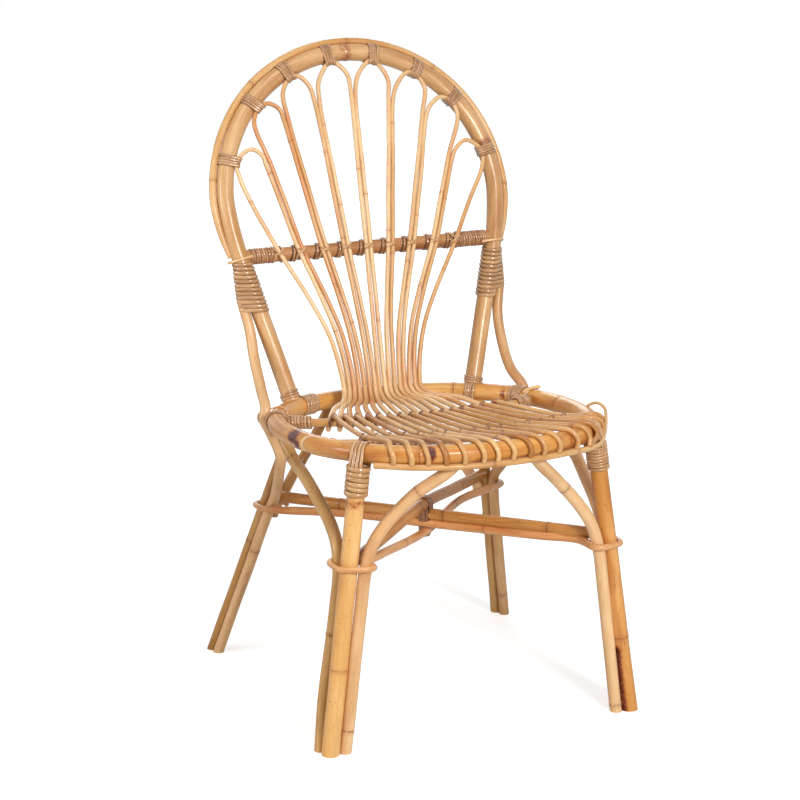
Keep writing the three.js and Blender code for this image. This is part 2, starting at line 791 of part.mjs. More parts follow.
function sideCane(side) {
  const alongPost = (share, diameter) => {
    const rise = junction_binding_top_rise - junction_binding_length * share;
    const reach = (hoop_cane + diameter) * half + clearance;
    return postPoint(side, rise).add(new THREE.Vector3(side * reach, 0, 0));
  };
  const top = alongPost(side_cane_top_share, side_cane_top_cane);
  const touch = alongPost(side_cane_touch_share, side_cane);
  const reach = (ring_cane + side_cane) * half + clearance * 2;
  const round_ring = [32, -8, -45].map((place) => ringPoint(
    side,
    side_cane_angle,
    reach * Math.cos(degrees(place)),
    reach * Math.sin(degrees(place)),
  ));
  const pass = round_ring[1];
  const spacing = (rear_leg_cane + side_cane) * half + hook_slack * 2;
  const tied = side_cane_height_shares.map((share, index) => beside(
    rearLegPoint(side, brace_bend_height * share),
    side,
    degrees(side_cane_turns[side][index]),
    spacing,
  ));
  const under_floor = tied[3].clone().lerp(tied[2], below_floor / tied[2].z);
  const above_tie = beside(
    rearLegPoint(side, brace_bend_height + side_cane),
    side,
    degrees(side_cane_turns[side][0]),
    spacing * above_tie_share,
  );
  const upper = upper_share_table.map(([rise, back, out]) => new THREE.Vector3(
    pass.x + side * ring_cane * out,
    THREE.MathUtils.lerp(pass.y, touch.y, back),
    THREE.MathUtils.lerp(pass.z, touch.z, rise),
  ));
  const lower = lower_share_table.map(([fall, back, inwards]) => new THREE.Vector3(
    THREE.MathUtils.lerp(pass.x, above_tie.x, inwards),
    THREE.MathUtils.lerp(pass.y, above_tie.y, back),
    THREE.MathUtils.lerp(pass.z, above_tie.z, fall),
  ));
  const points = smooth([
    top, touch, ...upper, ...round_ring, ...lower, above_tie, ...tied, under_floor,
  ]);
  const diameters = points.map((point) => THREE.MathUtils.clamp(
    THREE.MathUtils.mapLinear(point.z, top.z, touch.z, side_cane_top_cane, side_cane),
    side_cane_top_cane,
    side_cane,
  ));
  return cane(points, diameters, 8);
}

// The lashing of a post and the top of its side cane
function junctionBinding(side, side_route) {
  const steps = 4;
  const stations = Array.from({ length: steps + 1 }, (_, step) => {
    const rise = junction_binding_top_rise - junction_binding_length * step / steps;
    const origin = postPoint(side, rise);
    const near = side_route.points.reduce((best, point, index) =>
      (Math.abs(point.z - origin.z) < Math.abs(side_route.points[best].z - origin.z) ? index : best), 0);
    const above = side_route.points[0].z < origin.z;
    const other = above ? side_route.points[0] : sliceAt(side_route.points, origin.z);
    const radius = side_route.diameters[near] * half;
    const circles = [{ centre: new THREE.Vector2(0, 0), radius: hoop_cane * half }];
    if (!above) {
      circles.push({ centre: new THREE.Vector2(other.x - origin.x, other.y - origin.y), radius });
    }
    return {
      origin,
      right: new THREE.Vector3(1, 0, 0),
      ahead: new THREE.Vector3(0, 1, 0),
      circles,
    };
  });
  return cut(binding(stations.reverse(), clearance + peel * 1.3, 20), hoop, side_route);
}

// Where a route passes a height
function sliceAt(points, height) {
  for (let index = 1; index < points.length; index += 1) {
    const [from, to] = [points[index - 1], points[index]];
    if ((from.z - height) * (to.z - height) <= 0 && from.z !== to.z) {
      return from.clone().lerp(to, (height - from.z) / (to.z - from.z));
    }
  }
  return points[0].clone();
}

// The lashing of a front leg: turns round the leg, and a strap over the ring
function legBinding(side, leg) {
  const top = frontLegTop(side);
  const low = frontLegPoint(side, top.z - leg_binding_length);
  const turns = solid(cane([low, top], front_leg_cane, 12, { facing: backwards }), clearance + peel);
  const strap_route = cane(ringStretch(side, front_leg_angle, leg_strap_length), ring_cane, 12);
  return cut(turns.add(solid(strap_route, clearance + peel)), ring, leg);
}

// Crossed stretchers. Each is a thick cane between two leg clusters, over a thinner tie cane
// that ends in a loop round each cluster
const tie_height = stretcher_height - (stretcher_cane + tie_cane) * half - clearance;

// Every cane of a cluster is a leaning one, so the loop is drawn round its places at both
// faces of the loop
function clusterCircles(side, routes) {
  return [-1, 1].flatMap((face) => routes.map((route) => {
    const centre = sliceAt(route.points, tie_height + face * tie_loop_cane * half);
    const radius = route.diameters[route.diameters.length - 1] * half;
    return { centre: new THREE.Vector2(side * centre.x, centre.y), radius };
  }));
}

// The loop round a cluster, from the side where the tie cane comes in
function tieLoop(side, circles, start) {
  const steps = 10;
  return Array.from({ length: steps + 1 }, (_, step) => {
    const point = bandPoint(circles, start + tie_sweep * step / steps, tie_loop_cane * half + hook_slack);
    return new THREE.Vector3(side * point.x, point.y, tie_height);
  });
}

const front_loop_start = degrees(221);
const rear_loop_start = degrees(-41);
const tie_level_shares = [0.2, 0.5, 0.8];

function stretcherPair(front_side, clusters, over) {
  const rear_side = -front_side;
  const lift = over ? 1 : 0;
  const front_end = frontLegPoint(front_side, stretcher_height);
  const rear = clusters.rear[rear_side];
  const meet = [rear.side_cane, rear.brace].map((route) => sliceAt(route.points, stretcher_height));
  const rear_end = meet[0].lerp(meet[1], half);
  const middle = rear_end.clone().lerp(front_end, rear_end.x / (rear_end.x - front_end.x));
  const upper_middle = middle.clone().setZ(stretcher_height + lift * (stretcher_cane + clearance));
  const lower_middle = middle.clone().setZ(tie_height - lift * (tie_cane + clearance));
  const upper = cane(smooth([rear_end, upper_middle, front_end]), stretcher_cane, 10);

  const front_loop = tieLoop(front_side, clusterCircles(front_side, clusters.front[front_side]), front_loop_start);
  const rear_loop = tieLoop(rear_side, clusterCircles(rear_side, Object.values(rear)), rear_loop_start);
  const under = tie_level_shares.map((share) => rear_end.clone().lerp(front_end, share).setZ(tie_height));
  under[1] = lower_middle;
  const run = new THREE.CatmullRomCurve3([rear_loop[0], ...under, front_loop[0]]).getPoints(10);
  const points = [...rear_loop.reverse(), ...run.slice(1, -1), ...front_loop];
  const full = points.length - 1;
  const loop_share = 0.5;
  const diameters = points.map((_, index) => {
    const from_middle = Math.abs(index / full - half) * 2;
    return from_middle < loop_share * half ? tie_cane : THREE.MathUtils.clamp(
      THREE.MathUtils.mapLinear(from_middle, loop_share * half, loop_share, tie_cane, tie_loop_cane),
      tie_loop_cane,
      tie_cane,
    );
  });
  return { upper, lower: cane(points, diameters, 6), middle };
}

// The lashing where the stretchers cross: two closed turns of peel, at right angles
function crossingLashing(pairs) {
  const centre = pairs[0].middle;
  const tops = [0, 1].map((lift) => stretcher_height + lift * (stretcher_cane + clearance));
  const lows = [0, 1].map((lift) => tie_height - lift * (tie_cane + clearance));
  const oblique = Math.SQRT2;
  const circles = [
    ...tops.map((height) => ({ centre: new THREE.Vector2(0, height), radius: stretcher_cane * half })),
    ...lows.map((height) => ({ centre: new THREE.Vector2(0, height), radius: tie_cane * half })),
  ];
  const turns = [[1, 0], [0, 1]].map(([x, y]) => {
    const steps = 12;
    const points = Array.from({ length: steps }, (_, step) => {
      const point = bandPoint(circles, (step / steps) * Math.PI * 2, peel + clearance);
      const aside = point.x * oblique;
      return new THREE.Vector3(centre.x + x * aside, centre.y + y * aside, point.y);
    });
    return solid(cane(points, peel * 2, 6, { closed: true, facing: new THREE.Vector3(y, x, 0) }));
  });
  const routes = pairs.flatMap((pair) => [pair.upper, pair.lower]);
  return cut(turns[0].add(turns[1]), ...routes);
}

const clusters = { front: {}, rear: {} };
for (const [name, side] of sides) {
  const front_leg = frontLeg(side);
  const rear_leg = rearLeg(side);
  const front_brace = frontBrace(side);
  const side_brace = sideBrace(side);
  const rear_brace = rearBrace(side);
  const side_route = sideCane(side);
  clusters.front[side] = [front_leg, front_brace, side_brace];
  clusters.rear[side] = { leg: rear_leg, side_cane: side_route, brace: rear_brace };
  add(`front_leg_${name}`, standing(cut(solid(front_leg), ring)), colours.leg, 0.4);
  add(`rear_leg_${name}`, standing(cut(solid(rear_leg), ring)), colours.leg, 0.4);
  add(`front_brace_${name}`, standing(cut(solid(front_brace), ring)), colours.leg, 0.4);
  add(`side_brace_${name}`, standing(cut(solid(side_brace), ring)), colours.leg, 0.4);
  add(`rear_brace_${name}`, cut(solid(rear_brace), ring), colours.leg, 0.4);
  add(`side_cane_${name}`, standing(solid(side_route)), colours.frame, 0.45);
  add(`junction_binding_${name}`, junctionBinding(side, side_route), colours.peel, 0.4);
  add(`leg_binding_${name}`, legBinding(side, front_leg), colours.peel, 0.4);
}

const pairs = sides.map(([, side]) => stretcherPair(side, clusters, side < 0));
sides.forEach(([name, side], index) => {
  const neighbours = [...clusters.front[side], ...Object.values(clusters.rear[-side])];
  add(`stretcher_${name}`, cut(solid(pairs[index].upper), ...neighbours), colours.frame, 0.45);
  add(`stretcher_tie_${name}`, solid(pairs[index].lower), colours.tie, 0.45);
});
add('stretcher_lashing', crossingLashing(pairs), colours.peel, 0.4);

export default chair;
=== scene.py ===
# A rattan side chair: an open round seat and a hoop back of thin canes that fan out of it,
# on splayed legs tied by crossed stretchers. Built piece by piece, as the chair is put together.
import math
import random

import bpy
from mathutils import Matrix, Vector, noise


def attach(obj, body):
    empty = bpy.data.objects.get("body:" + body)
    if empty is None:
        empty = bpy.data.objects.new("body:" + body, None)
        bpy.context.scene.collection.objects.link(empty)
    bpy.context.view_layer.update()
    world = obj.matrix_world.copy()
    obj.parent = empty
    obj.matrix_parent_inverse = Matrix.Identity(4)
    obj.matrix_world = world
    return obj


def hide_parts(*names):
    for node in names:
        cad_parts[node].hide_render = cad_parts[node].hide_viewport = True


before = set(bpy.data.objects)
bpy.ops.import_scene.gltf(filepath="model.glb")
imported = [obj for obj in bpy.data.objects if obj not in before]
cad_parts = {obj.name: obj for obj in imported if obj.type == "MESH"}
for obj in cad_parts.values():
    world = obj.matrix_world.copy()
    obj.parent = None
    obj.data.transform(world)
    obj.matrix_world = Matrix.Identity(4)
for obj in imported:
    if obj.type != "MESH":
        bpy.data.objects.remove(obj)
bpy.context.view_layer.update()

# Seat ring. One thick honey cane, bent over steam into a near-round ring, its two ends cut on a
# slant and nailed together at the back left. It is varnished, and all the other canes are tied to it.
seat_height = 409
seat_half_width = 220
seat_half_depth = 226
seat_setback = -52
seat_fall = 17
ring_cane = 27
ring_roundness = 2.3
seat_tilt = math.atan2(seat_fall / 2, seat_half_depth)
sides = (("left", -1), ("right", 1))


def seat_point(across, behind, lift=0.0):
    return Vector((
        across,
        seat_setback + behind * math.cos(seat_tilt) + lift * math.sin(seat_tilt),
        seat_height - behind * math.sin(seat_tilt) + lift * math.cos(seat_tilt),
    ))


def ring_reach(angle):
    across = abs(math.cos(angle)) / seat_half_width
    along = abs(math.sin(angle)) / seat_half_depth
    return (across ** ring_roundness + along ** ring_roundness) ** (-1 / ring_roundness)


def ring_point(side, angle, out=0.0, lift=0.0):
    reach = ring_reach(angle) + out
    return seat_point(side * reach * math.cos(angle), reach * math.sin(angle), lift)


def bent_line(points, closed=False):
    """A cane's centre line, bent evenly through the places where it is held."""
    count = len(points)
    line = []
    spans = count if closed else count - 1
    for span in range(spans):
        at = [points[(span + step) % count] if closed or 0 <= span + step < count else None
              for step in (-1, 0, 1, 2)]
        if at[0] is None:
            at[0] = at[1] * 2 - at[2]
        if at[3] is None:
            at[3] = at[2] * 2 - at[1]
        gaps = [max((at[step + 1] - at[step]).length ** 0.5, 0.01) for step in range(3)]
        leave = (at[1] - at[0]) / gaps[0] - (at[2] - at[0]) / (gaps[0] + gaps[1]) + (at[2] - at[1]) / gaps[1]
        meet = (at[2] - at[1]) / gaps[1] - (at[3] - at[1]) / (gaps[1] + gaps[2]) + (at[3] - at[2]) / gaps[2]
        leave, meet = leave * gaps[1], meet * gaps[1]
        steps = max(2, int((at[2] - at[1]).length / 2.0))
        for step in range(steps):
            t = step / steps
            line.append(
                at[1] + leave * t + (at[2] * 3 - at[1] * 3 - leave * 2 - meet) * t ** 2
                + (at[1] * 2 - at[2] * 2 + leave + meet) * t ** 3
            )
    if not closed:
        line.append(points[-1].copy())
    return line


def lengths_along(line):
    along = [0.0]
    for before, after in zip(line, line[1:]):
        along.append(along[-1] + (after - before).length)
    return along


def point_along(line, along, distance):
    low, high = 0, len(along) - 1
    while high - low > 1:
        middle = (low + high) // 2
        if along[middle] <= distance:
            low = middle
        else:
            high = middle
    span = along[high] - along[low]
    return line[low].lerp(line[high], 0 if span == 0 else (distance - along[low]) / span)


def note(piece, called, values):
    """Keeps one value for each point of a piece, or three in a row, for its material to read."""
    vector = len(values) == 3 * len(piece.data.vertices)
    kind, key = ("FLOAT_VECTOR", "vector") if vector else ("FLOAT", "value")
    piece.data.attributes.new(called, kind, "POINT").data.foreach_set(key, values)


def let_go():
    """Deselects all, so that the next operator acts on its own piece."""
    for piece in bpy.context.selected_objects:
        piece.select_set(False)


# Without a seed of its own the noise would bend the canes in another way at each run
noise.seed_set(11)
knot_stops = (-7.0, -4.0, -2.0, -0.8, 0.0, 0.8, 2.0, 4.0, 7.0)
close_step = 1.2
least_step = 0.55
settling = 25


def lay_cane(name, line, width, knots=(), seed=0, facets=6, spacing=6.0, closed=False,
             standing=False, swell=0.045, wander=0.35, blunt=0.9, tint=None, close=()):
    """One round cane along a line in millimetres: a curve with a thickness, swollen at its knots."""
    let_go()
    path = line + [line[0]] if closed else line
    along = lengths_along(path)
    full = along[-1]
    width_at = width if callable(width) else (lambda share: width)
    knot_places = [share * full for share in knots]
    even = max(2, round(full / spacing))
    marks = {full * step / even for step in range(even + 1)}
    for place in knot_places:
        marks |= {place + step for step in knot_stops}
    for start, end in close:
        marks |= {start + step * close_step for step in range(int((end - start) / close_step))}
    if not closed:
        marks |= {blunt, full - blunt}
    stations = [0.0]
    for mark in sorted(marks):
        if 0 < mark < full and mark - stations[-1] > least_step:
            stations.append(mark)
    if closed:
        stations = [mark for mark in stations if mark < full - 0.6]
    else:
        stations = [mark for mark in stations if mark < full - 0.5] + [full]
    bpy.ops.curve.primitive_nurbs_path_add(location=(0, 0, 0))
    cane = bpy.context.object
    cane.name = name
    cane.data.splines.clear()
    spline = cane.data.splines.new("POLY")
    spline.points.add(len(stations) - 1)
    spline.use_cyclic_u = closed
    cane.data.dimensions = "3D"
    cane.data.bevel_depth = 0.001
    cane.data.bevel_resolution = facets
    cane.data.use_fill_caps = not closed
    radii = []
    nearest_knots = []
    for index, mark in enumerate(stations):
        point = point_along(path, along, mark)
        ease = 1.0 if closed else min(1.0, mark / settling, (full - mark) / settling)
        drift = noise.noise_vector(Vector((mark / 70, seed * 3.1, 0.5))) * wander * ease
        nearest = min([abs(mark - place) for place in knot_places] or [1000.0])
        bulge = 1 + 0.012 * noise.noise(Vector((mark / 30, seed * 1.7, 4.0)))
        bulge += swell * math.exp(-(nearest / 2.6) ** 2) - 0.012 * math.exp(-((nearest - 6.5) / 3) ** 2)
        at_end = not closed and not standing and index in (0, len(stations) - 1)
        radius = width_at(mark / full) / 2 * bulge * (0.84 if at_end else 1)
        spline.points[index].co = (*((point + drift) * 0.001), 1)
        spline.points[index].radius = radius
        radii.append(radius)
        nearest_knots.append(nearest)
    bpy.ops.object.convert(target="MESH")
    cane = bpy.context.object
    mesh = cane.data
    around = 4 + 2 * facets
    rings = list(range(len(stations)))
    if not closed:
        rings = [len(stations) - 1, 0] + rings
    grain = []
    knot = []
    for ring in rings:
        for facet in range(around):
            turn = facet / around * 2 * math.pi
            grain += [
                stations[ring] * 0.001 + seed * 1.37,
                radii[ring] * math.cos(turn) * 0.001,
                radii[ring] * math.sin(turn) * 0.001,
            ]
            knot.append(nearest_knots[ring] * 0.001)
    if tint is None:
        tint = random.Random(f"{name} {seed}").random()
    for called, values in (("grain", grain), ("knot", knot), ("tint", [tint] * len(knot))):
        note(cane, called, values)
    if standing:
        tail = (path[-1] - path[-3]).normalized()
        for vertex in mesh.vertices:
            if vertex.co.z < 0.0075:
                last = rings[vertex.index // around] == len(stations) - 1
                if last or vertex.co.z < 0:
                    vertex.co -= tail * (vertex.co.z / tail.z)
    bpy.ops.object.mode_set(mode="EDIT")
    bpy.ops.mesh.select_all(action="SELECT")
    bpy.ops.mesh.remove_doubles(threshold=0.000001)
    bpy.ops.mesh.normals_make_consistent(inside=False)
    bpy.ops.object.mode_set(mode="OBJECT")
    bpy.ops.object.shade_smooth_by_angle(angle=math.radians(50))
    cane.select_set(False)
    return cane


def gather(name, pieces):
    """Joins like pieces into one object."""
    let_go()
    for piece in pieces:
        piece.select_set(True)
    bpy.context.view_layer.objects.active = pieces[0]
    if len(pieces) > 1:
        bpy.ops.object.join()
    whole = bpy.context.object
    whole.name = name
    whole.select_set(False)
    return whole


def paint(red, green, blue):
    """A colour as seen on a screen, 0 to 255, as the light that it reflects."""
    shares = [value / 255 for value in (red, green, blue)]
    return tuple(s / 12.92 if s <= 0.04045 else ((s + 0.055) / 1.055) ** 2.4 for s in shares) + (1.0,)


def skin_steps(name):
    """A new material, and the steps by which every skin builds up its colour and its relief."""
    material = bpy.data.materials.new(name)
    material.use_nodes = True
    nodes, links = material.node_tree.nodes, material.node_tree.links
    skin = nodes["Principled BSDF"]

    def attribute(called, socket="Fac"):
        node = nodes.new("ShaderNodeAttribute")
        node.attribute_name = called
        return node.outputs[socket]

    grain = attribute("grain", "Vector")

    def pattern(scale, detail, roughness=0.5, shift=0.0):
        stretch = nodes.new("ShaderNodeMapping")
        stretch.inputs["Scale"].default_value = scale
        stretch.inputs["Location"].default_value = (shift, shift * 0.7, shift * 0.3)
        links.new(grain, stretch.inputs["Vector"])
        texture = nodes.new("ShaderNodeTexNoise")
        texture.inputs["Scale"].default_value = 1.0
        texture.inputs["Detail"].default_value = detail
        texture.inputs["Roughness"].default_value = roughness
        links.new(stretch.outputs["Vector"], texture.inputs["Vector"])
        return texture.outputs["Fac"]

    def between(value, low, high, to_low=0.0, to_high=1.0):
        node = nodes.new("ShaderNodeMapRange")
        node.inputs["From Min"].default_value = low
        node.inputs["From Max"].default_value = high
        node.inputs["To Min"].default_value = to_low
        node.inputs["To Max"].default_value = to_high
        links.new(value, node.inputs["Value"])
        return node.outputs["Result"]

    def sums(kind, first, second=0.0):
        node = nodes.new("ShaderNodeMath")
        node.operation = kind
        for socket, value in zip(node.inputs, (first, second)):
            if isinstance(value, (int, float)):
                socket.default_value = value
            else:
                links.new(value, socket)
        return node.outputs["Value"]

    def mix(share, first, second):
        node = nodes.new("ShaderNodeMix")
        node.data_type = "RGBA"
        sockets = (node.inputs["Factor"], node.inputs[6], node.inputs[7])
        for socket, value in zip(sockets, (share, first, second)):
            if isinstance(value, (int, float, tuple)):
                socket.default_value = value
            else:
                links.new(value, socket)
        return node.outputs[2]

    def varnish(colour, dull, relief, strength, depth, coat, coat_dull, coat_ior):
        links.new(colour, skin.inputs["Base Color"])
        links.new(dull, skin.inputs["Roughness"])
        for socket, number in (("Specular IOR Level", 0.3), ("Coat Weight", coat),
                               ("Coat Roughness", coat_dull), ("Coat IOR", coat_ior)):
            skin.inputs[socket].default_value = number
        bump = nodes.new("ShaderNodeBump")
        bump.inputs["Strength"].default_value = strength
        bump.inputs["Distance"].default_value = depth
        links.new(relief, bump.inputs["Height"])
        links.new(bump.outputs["Normal"], skin.inputs["Normal"])
        return material

    return attribute, pattern, between, sums, mix, varnish


def varnished_cane(name, pale, honey, stain, stains=0.25, specks=0.5, gloss=0.36, coat=0.3, rings=0.7,
                   blush=0.0, joint=False):
    """Cane skin under varnish: fine grain along the cane, warmer patches, dark rings at the
    knots and a few dark specks. The grain follows the cane through its own attributes."""
    attribute, pattern, between, sums, mix, varnish = skin_steps(name)
    knot, tint, scorch = attribute("knot"), attribute("tint"), attribute("scorch")
    streaks = pattern((34, 900, 900), 4, 0.6, 0.0)
    fibres = pattern((160, 2600, 2600), 2, 0.5, 5.0)
    patches = pattern((7.5, 55, 55), 3, 0.55, 9.0)
    warm = pattern((9, 45, 45), 3, 0.55, 17.0)
    dots = pattern((330, 480, 480), 1, 0.4, 23.0)
    waver = pattern((60, 380, 380), 2, 0.5, 31.0)
    gaps = pattern((90, 300, 300), 2, 0.5, 43.0)

    tone = sums("ADD", sums("MULTIPLY", patches, 0.62), sums("MULTIPLY", streaks, 0.38))
    tone = sums("ADD", tone, sums("MULTIPLY", sums("SUBTRACT", tint, 0.5), -0.18))
    colour = mix(between(tone, 0.37, 0.62), honey, pale)
    colour = mix(sums("MULTIPLY", between(tint, 0.5, 1.0), blush), colour, stain)
    colour = mix(sums("MULTIPLY", between(warm, 0.52, 0.7), stains), colour, stain)
    dark = (stain[0] * 0.24, stain[1] * 0.13, stain[2] * 0.12, 1.0)
    colour = mix(between(streaks, 0.54, 0.7, 0.0, 0.32), colour, stain)
    edge = sums("ADD", knot, sums("MULTIPLY", sums("SUBTRACT", waver, 0.5), 0.0026))
    near_knot = between(gaps, 0.38, 0.55, 0.25, 1.0)
    colour = mix(sums("MULTIPLY", between(edge, 0.007, 0.001), 0.3), colour, stain)
    node_ring = sums("MULTIPLY", between(edge, 0.001, 0.0003), rings)
    colour = mix(sums("MULTIPLY", node_ring, near_knot), colour, dark)
    colour = mix(sums("MULTIPLY", between(dots, 0.72, 0.76), specks), colour, dark)
    # Dark scorch marks, and the painted shade that the seat canes carry in the same attribute, take the skin
    # towards stain and then dark.
    feathers = pattern((260, 150, 150), 3, 0.6, 57.0)
    scorch_and_shade_mask = sums("ADD", scorch, sums("MULTIPLY", sums("SUBTRACT", feathers, 0.5), 0.8))
    scorch_and_shade_mask = sums("MULTIPLY", scorch_and_shade_mask, between(scorch, 0.02, 0.15))
    colour = mix(between(scorch_and_shade_mask, 0.22, 0.5, 0.0, 0.85), colour, stain)
    colour = mix(between(scorch_and_shade_mask, 0.42, 0.7, 0.0, 0.95), colour, dark)
    relief = sums("ADD", sums("MULTIPLY", streaks, 0.7), sums("MULTIPLY", fibres, 0.3))
    relief = sums("SUBTRACT", relief, sums("MULTIPLY", between(edge, 0.0013, 0.0002), 0.8))
    if joint:
        seam = attribute("seam")
        bare = sums("MULTIPLY", between(seam, -0.009, -0.006), between(seam, 0.0003, -0.0003))
        colour = mix(sums("MULTIPLY", bare, 0.75), colour, paint(240, 204, 156))
        cut = sums("ABSOLUTE", sums("ADD", seam, sums("MULTIPLY", sums("SUBTRACT", waver, 0.5), 0.001)))
        colour = mix(sums("MULTIPLY", between(cut, 0.0011, 0.0004), 0.9), colour, dark)
        relief = sums("SUBTRACT", relief, sums("MULTIPLY", between(cut, 0.0014, 0.0002), 2.0))
    dull = between(streaks, 0.3, 0.7, gloss - 0.06, gloss + 0.1)
    return varnish(colour, dull, relief, strength=0.4, depth=0.0004, coat=coat, coat_dull=0.16, coat_ior=1.38)


def mark_scorch_and_shade(cane, weigh):
    """Marks the darkened places of a cane: real scorch from its bender's flame or old sap, and painted shade
    where the caller asks for it.
    """
    note(cane, "scorch", [max(0.0, weigh(vertex.co * 1000)) for vertex in cane.data.vertices])


def finish_piece(piece, material, slot, *nodes):
    """Gives a finished piece its material and hides the solids that it stands for. Its slot is not used."""
    piece.data.materials.clear()
    piece.data.materials.append(material)
    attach(piece, "root")
    if nodes:
        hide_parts(*nodes)


ring_start = math.radians(150)
ring_stops = 72
joint_reach = 60
joint_slant = 11
ring_line = bent_line([
    ring_point(1, ring_start + turn / ring_stops * 2 * math.pi) for turn in range(ring_stops)
], closed=True)
joint_angle = math.radians(198)
joint_place = (joint_angle - ring_start) / (2 * math.pi) * lengths_along(ring_line + [ring_line[0]])[-1]
seat_ring = lay_cane("seat_ring", ring_line, ring_cane, (0.255, 0.395, 0.6, 0.745, 0.93), seed=1, facets=10,
                     closed=True, wander=0.5, close=((joint_place - 25, joint_place + 45),))
lift_way = seat_point(0, 0, 1) - seat_point(0, 0, 0)
millimetres_a_degree = 3.85
# Each scorched place: degrees round the ring, how far out it lies, its height, then its length,
# its breadth and how dark it is
ring_scorches = (
    (190, 0.0, 6, 13, 9, 1.3), (193.5, 0.6, -4, 8, 9, 1.0), (246, 0.6, 3, 7, 11, 1.1),
    (262, 0.8, -9, 10, 5, 0.5), (279, 0.8, -10, 14, 4, 0.5), (298, 0.6, 2, 5, 12, 0.55),
    (313, 1.0, 4, 8, 12, 0.95), (320, 0.8, -6, 8, 8, 0.8), (38, -0.6, 2, 4, 14, 0.8),
    (44, -0.8, 8, 3, 4, 0.6), (146, 0.4, 4, 6, 8, 0.5),
)
seams = []
places = []
for vertex in seat_ring.data.vertices:
    spot = vertex.co * 1000
    across, behind = spot.x, (spot.y - seat_setback) / math.cos(seat_tilt)
    angle = math.atan2(behind, across) % (2 * math.pi)
    centre = ring_point(1, angle)
    out = (spot - centre).dot(Vector((math.cos(angle), math.sin(angle), 0))) / (ring_cane / 2)
    lift = (spot - centre).dot(lift_way)
    places.append((math.degrees(angle), out, lift))
    reach = (angle - joint_angle) * seat_half_width
    seam = max(-30.0, min(30.0, reach - joint_slant * (1 - out)))
    seams.append(seam * 0.001)
    if abs(reach) < joint_reach:
        thicker = 0.5 if seam > 0 else -0.9 * max(0.0, 1 + seam / 14)
        vertex.co += (spot - centre).normalized() * thicker * (1 - abs(reach) / joint_reach) * 0.001
note(seat_ring, "seam", seams)


def ring_burn(angle, out, lift):
    burn = 0
    for at, outer, high, long, tall, strength in ring_scorches:
        if out > outer - 1.2:
            away = ((angle - at) * millimetres_a_degree / long) ** 2 + ((lift - high) / tall) ** 2
            burn = max(burn, strength * math.exp(-away))
    return burn


note(seat_ring, "scorch", [ring_burn(*place) for place in places])
ring_skin = varnished_cane("ring_cane", paint(228, 173, 98), paint(191, 116, 36), paint(150, 62, 14),
                           stains=0.6, gloss=0.33, coat=0.4, joint=True)
finish_piece(seat_ring, ring_skin, "ring_cane", "seat_ring")

# Back hoop. One long cane bent to an arch; its two ends come down as posts that lean back and
# draw together towards the ring, where each is lashed. Golden brown, varnished.
back_lean = math.radians(16.74)
hoop_foot_y = 9
hoop_radius = 220
hoop_centre_rise = 736
hoop_cane = 26
knee_rise = 650
knee_half_width = 207
post_foot_angle = math.radians(52.3)
post_foot_set = 5
post_middle_rise = 560
outer_cane = 12
outer_end_rise = 651


def back_point(across, rise, front=0.0):
    return Vector((
        across,
        hoop_foot_y + rise * math.sin(back_lean) - front * math.cos(back_lean),
        rise * math.cos(back_lean) + front * math.sin(back_lean),
    ))


def post_point(side, rise):
    foot = ring_point(side, post_foot_angle, post_foot_set)
    knee = back_point(side * knee_half_width, knee_rise)
    share = (knee_rise - rise) * math.cos(back_lean) / (knee.z - foot.z)
    return knee.lerp(foot, share)


def hoop_route(offset, end_rise, front=0.0):
    arch = []
    arch_steps = 26
    for step in range(arch_steps + 1):
        angle = math.pi * (1 - step / arch_steps)
        radius = hoop_radius + offset
        arch.append(back_point(radius * math.cos(angle), hoop_centre_rise + radius * math.sin(angle), front))

    def post(side):
        bend = back_point(
            side * (hoop_radius + (knee_half_width - hoop_radius) * 0.36 + offset),
            hoop_centre_rise + (knee_rise - hoop_centre_rise) * 0.52,
            front,
        )
        if end_rise >= knee_rise:
            return [bend, back_point(side * (knee_half_width + offset), end_rise, front)]
        foot = ring_point(side, post_foot_angle, post_foot_set)
        return [bend, post_point(side, knee_rise), post_point(side, post_middle_rise), foot]

    return bent_line(post(-1)[::-1] + arch + post(1))


hoop_line = hoop_route(0, 0)
back_hoop = lay_cane("back_hoop", hoop_line, hoop_cane, (0.4965, 0.703), seed=2, facets=9, wander=0.6)
hoop_skin = varnished_cane("hoop_cane", paint(220, 175, 122), paint(181, 124, 64), paint(150, 74, 32),
                           stains=0.4, gloss=0.3, coat=0.5, rings=0.9)
hoop_run = lengths_along(hoop_line)
hoop_dark = [point_along(hoop_line, hoop_run, share * hoop_run[-1]) for share in (0.494, 0.705)]


def hoop_burn(spot):
    away = min((spot - place).length for place in hoop_dark)
    return 0.62 * math.exp(-(away / 16) ** 4)


mark_scorch_and_shade(back_hoop, hoop_burn)
finish_piece(back_hoop, hoop_skin, "hoop_cane", "back_hoop")

# Outer cane. A pale, thinner cane that hugs the outside of the hoop from one end of the crossbar
# to the other, over the bindings, and is tied with the crossbar's ends.
outer_offset = (hoop_cane + outer_cane) / 2 - 0.9
outer_paring = 3.4
outer_line = hoop_route(outer_offset, outer_end_rise, -3.5)
outer_run = lengths_along(outer_line)
for index, run in enumerate(outer_run):
    pared = max(0.0, 1 - min(run, outer_run[-1] - run) / 75)
    outer_line[index].x -= math.copysign(outer_paring * pared ** 1.5, outer_line[index].x)


def outer_width(share):
    pared = max(0.0, 1 - min(share, 1 - share) * outer_run[-1] / 60)
    return outer_cane - 0.8 - 5.0 * pared ** 1.5


outer_hoop = lay_cane("outer_hoop_cane", outer_line, outer_width, (0.13, 0.31, 0.5, 0.66, 0.9),
                      seed=3, facets=6, wander=0.4)
thin_skin = varnished_cane("thin_cane", paint(238, 201, 150), paint(205, 152, 88), paint(166, 94, 44),
                           stains=0.35, specks=0.4, rings=0.5)
finish_piece(outer_hoop, thin_skin, "thin_cane", "outer_hoop_cane")

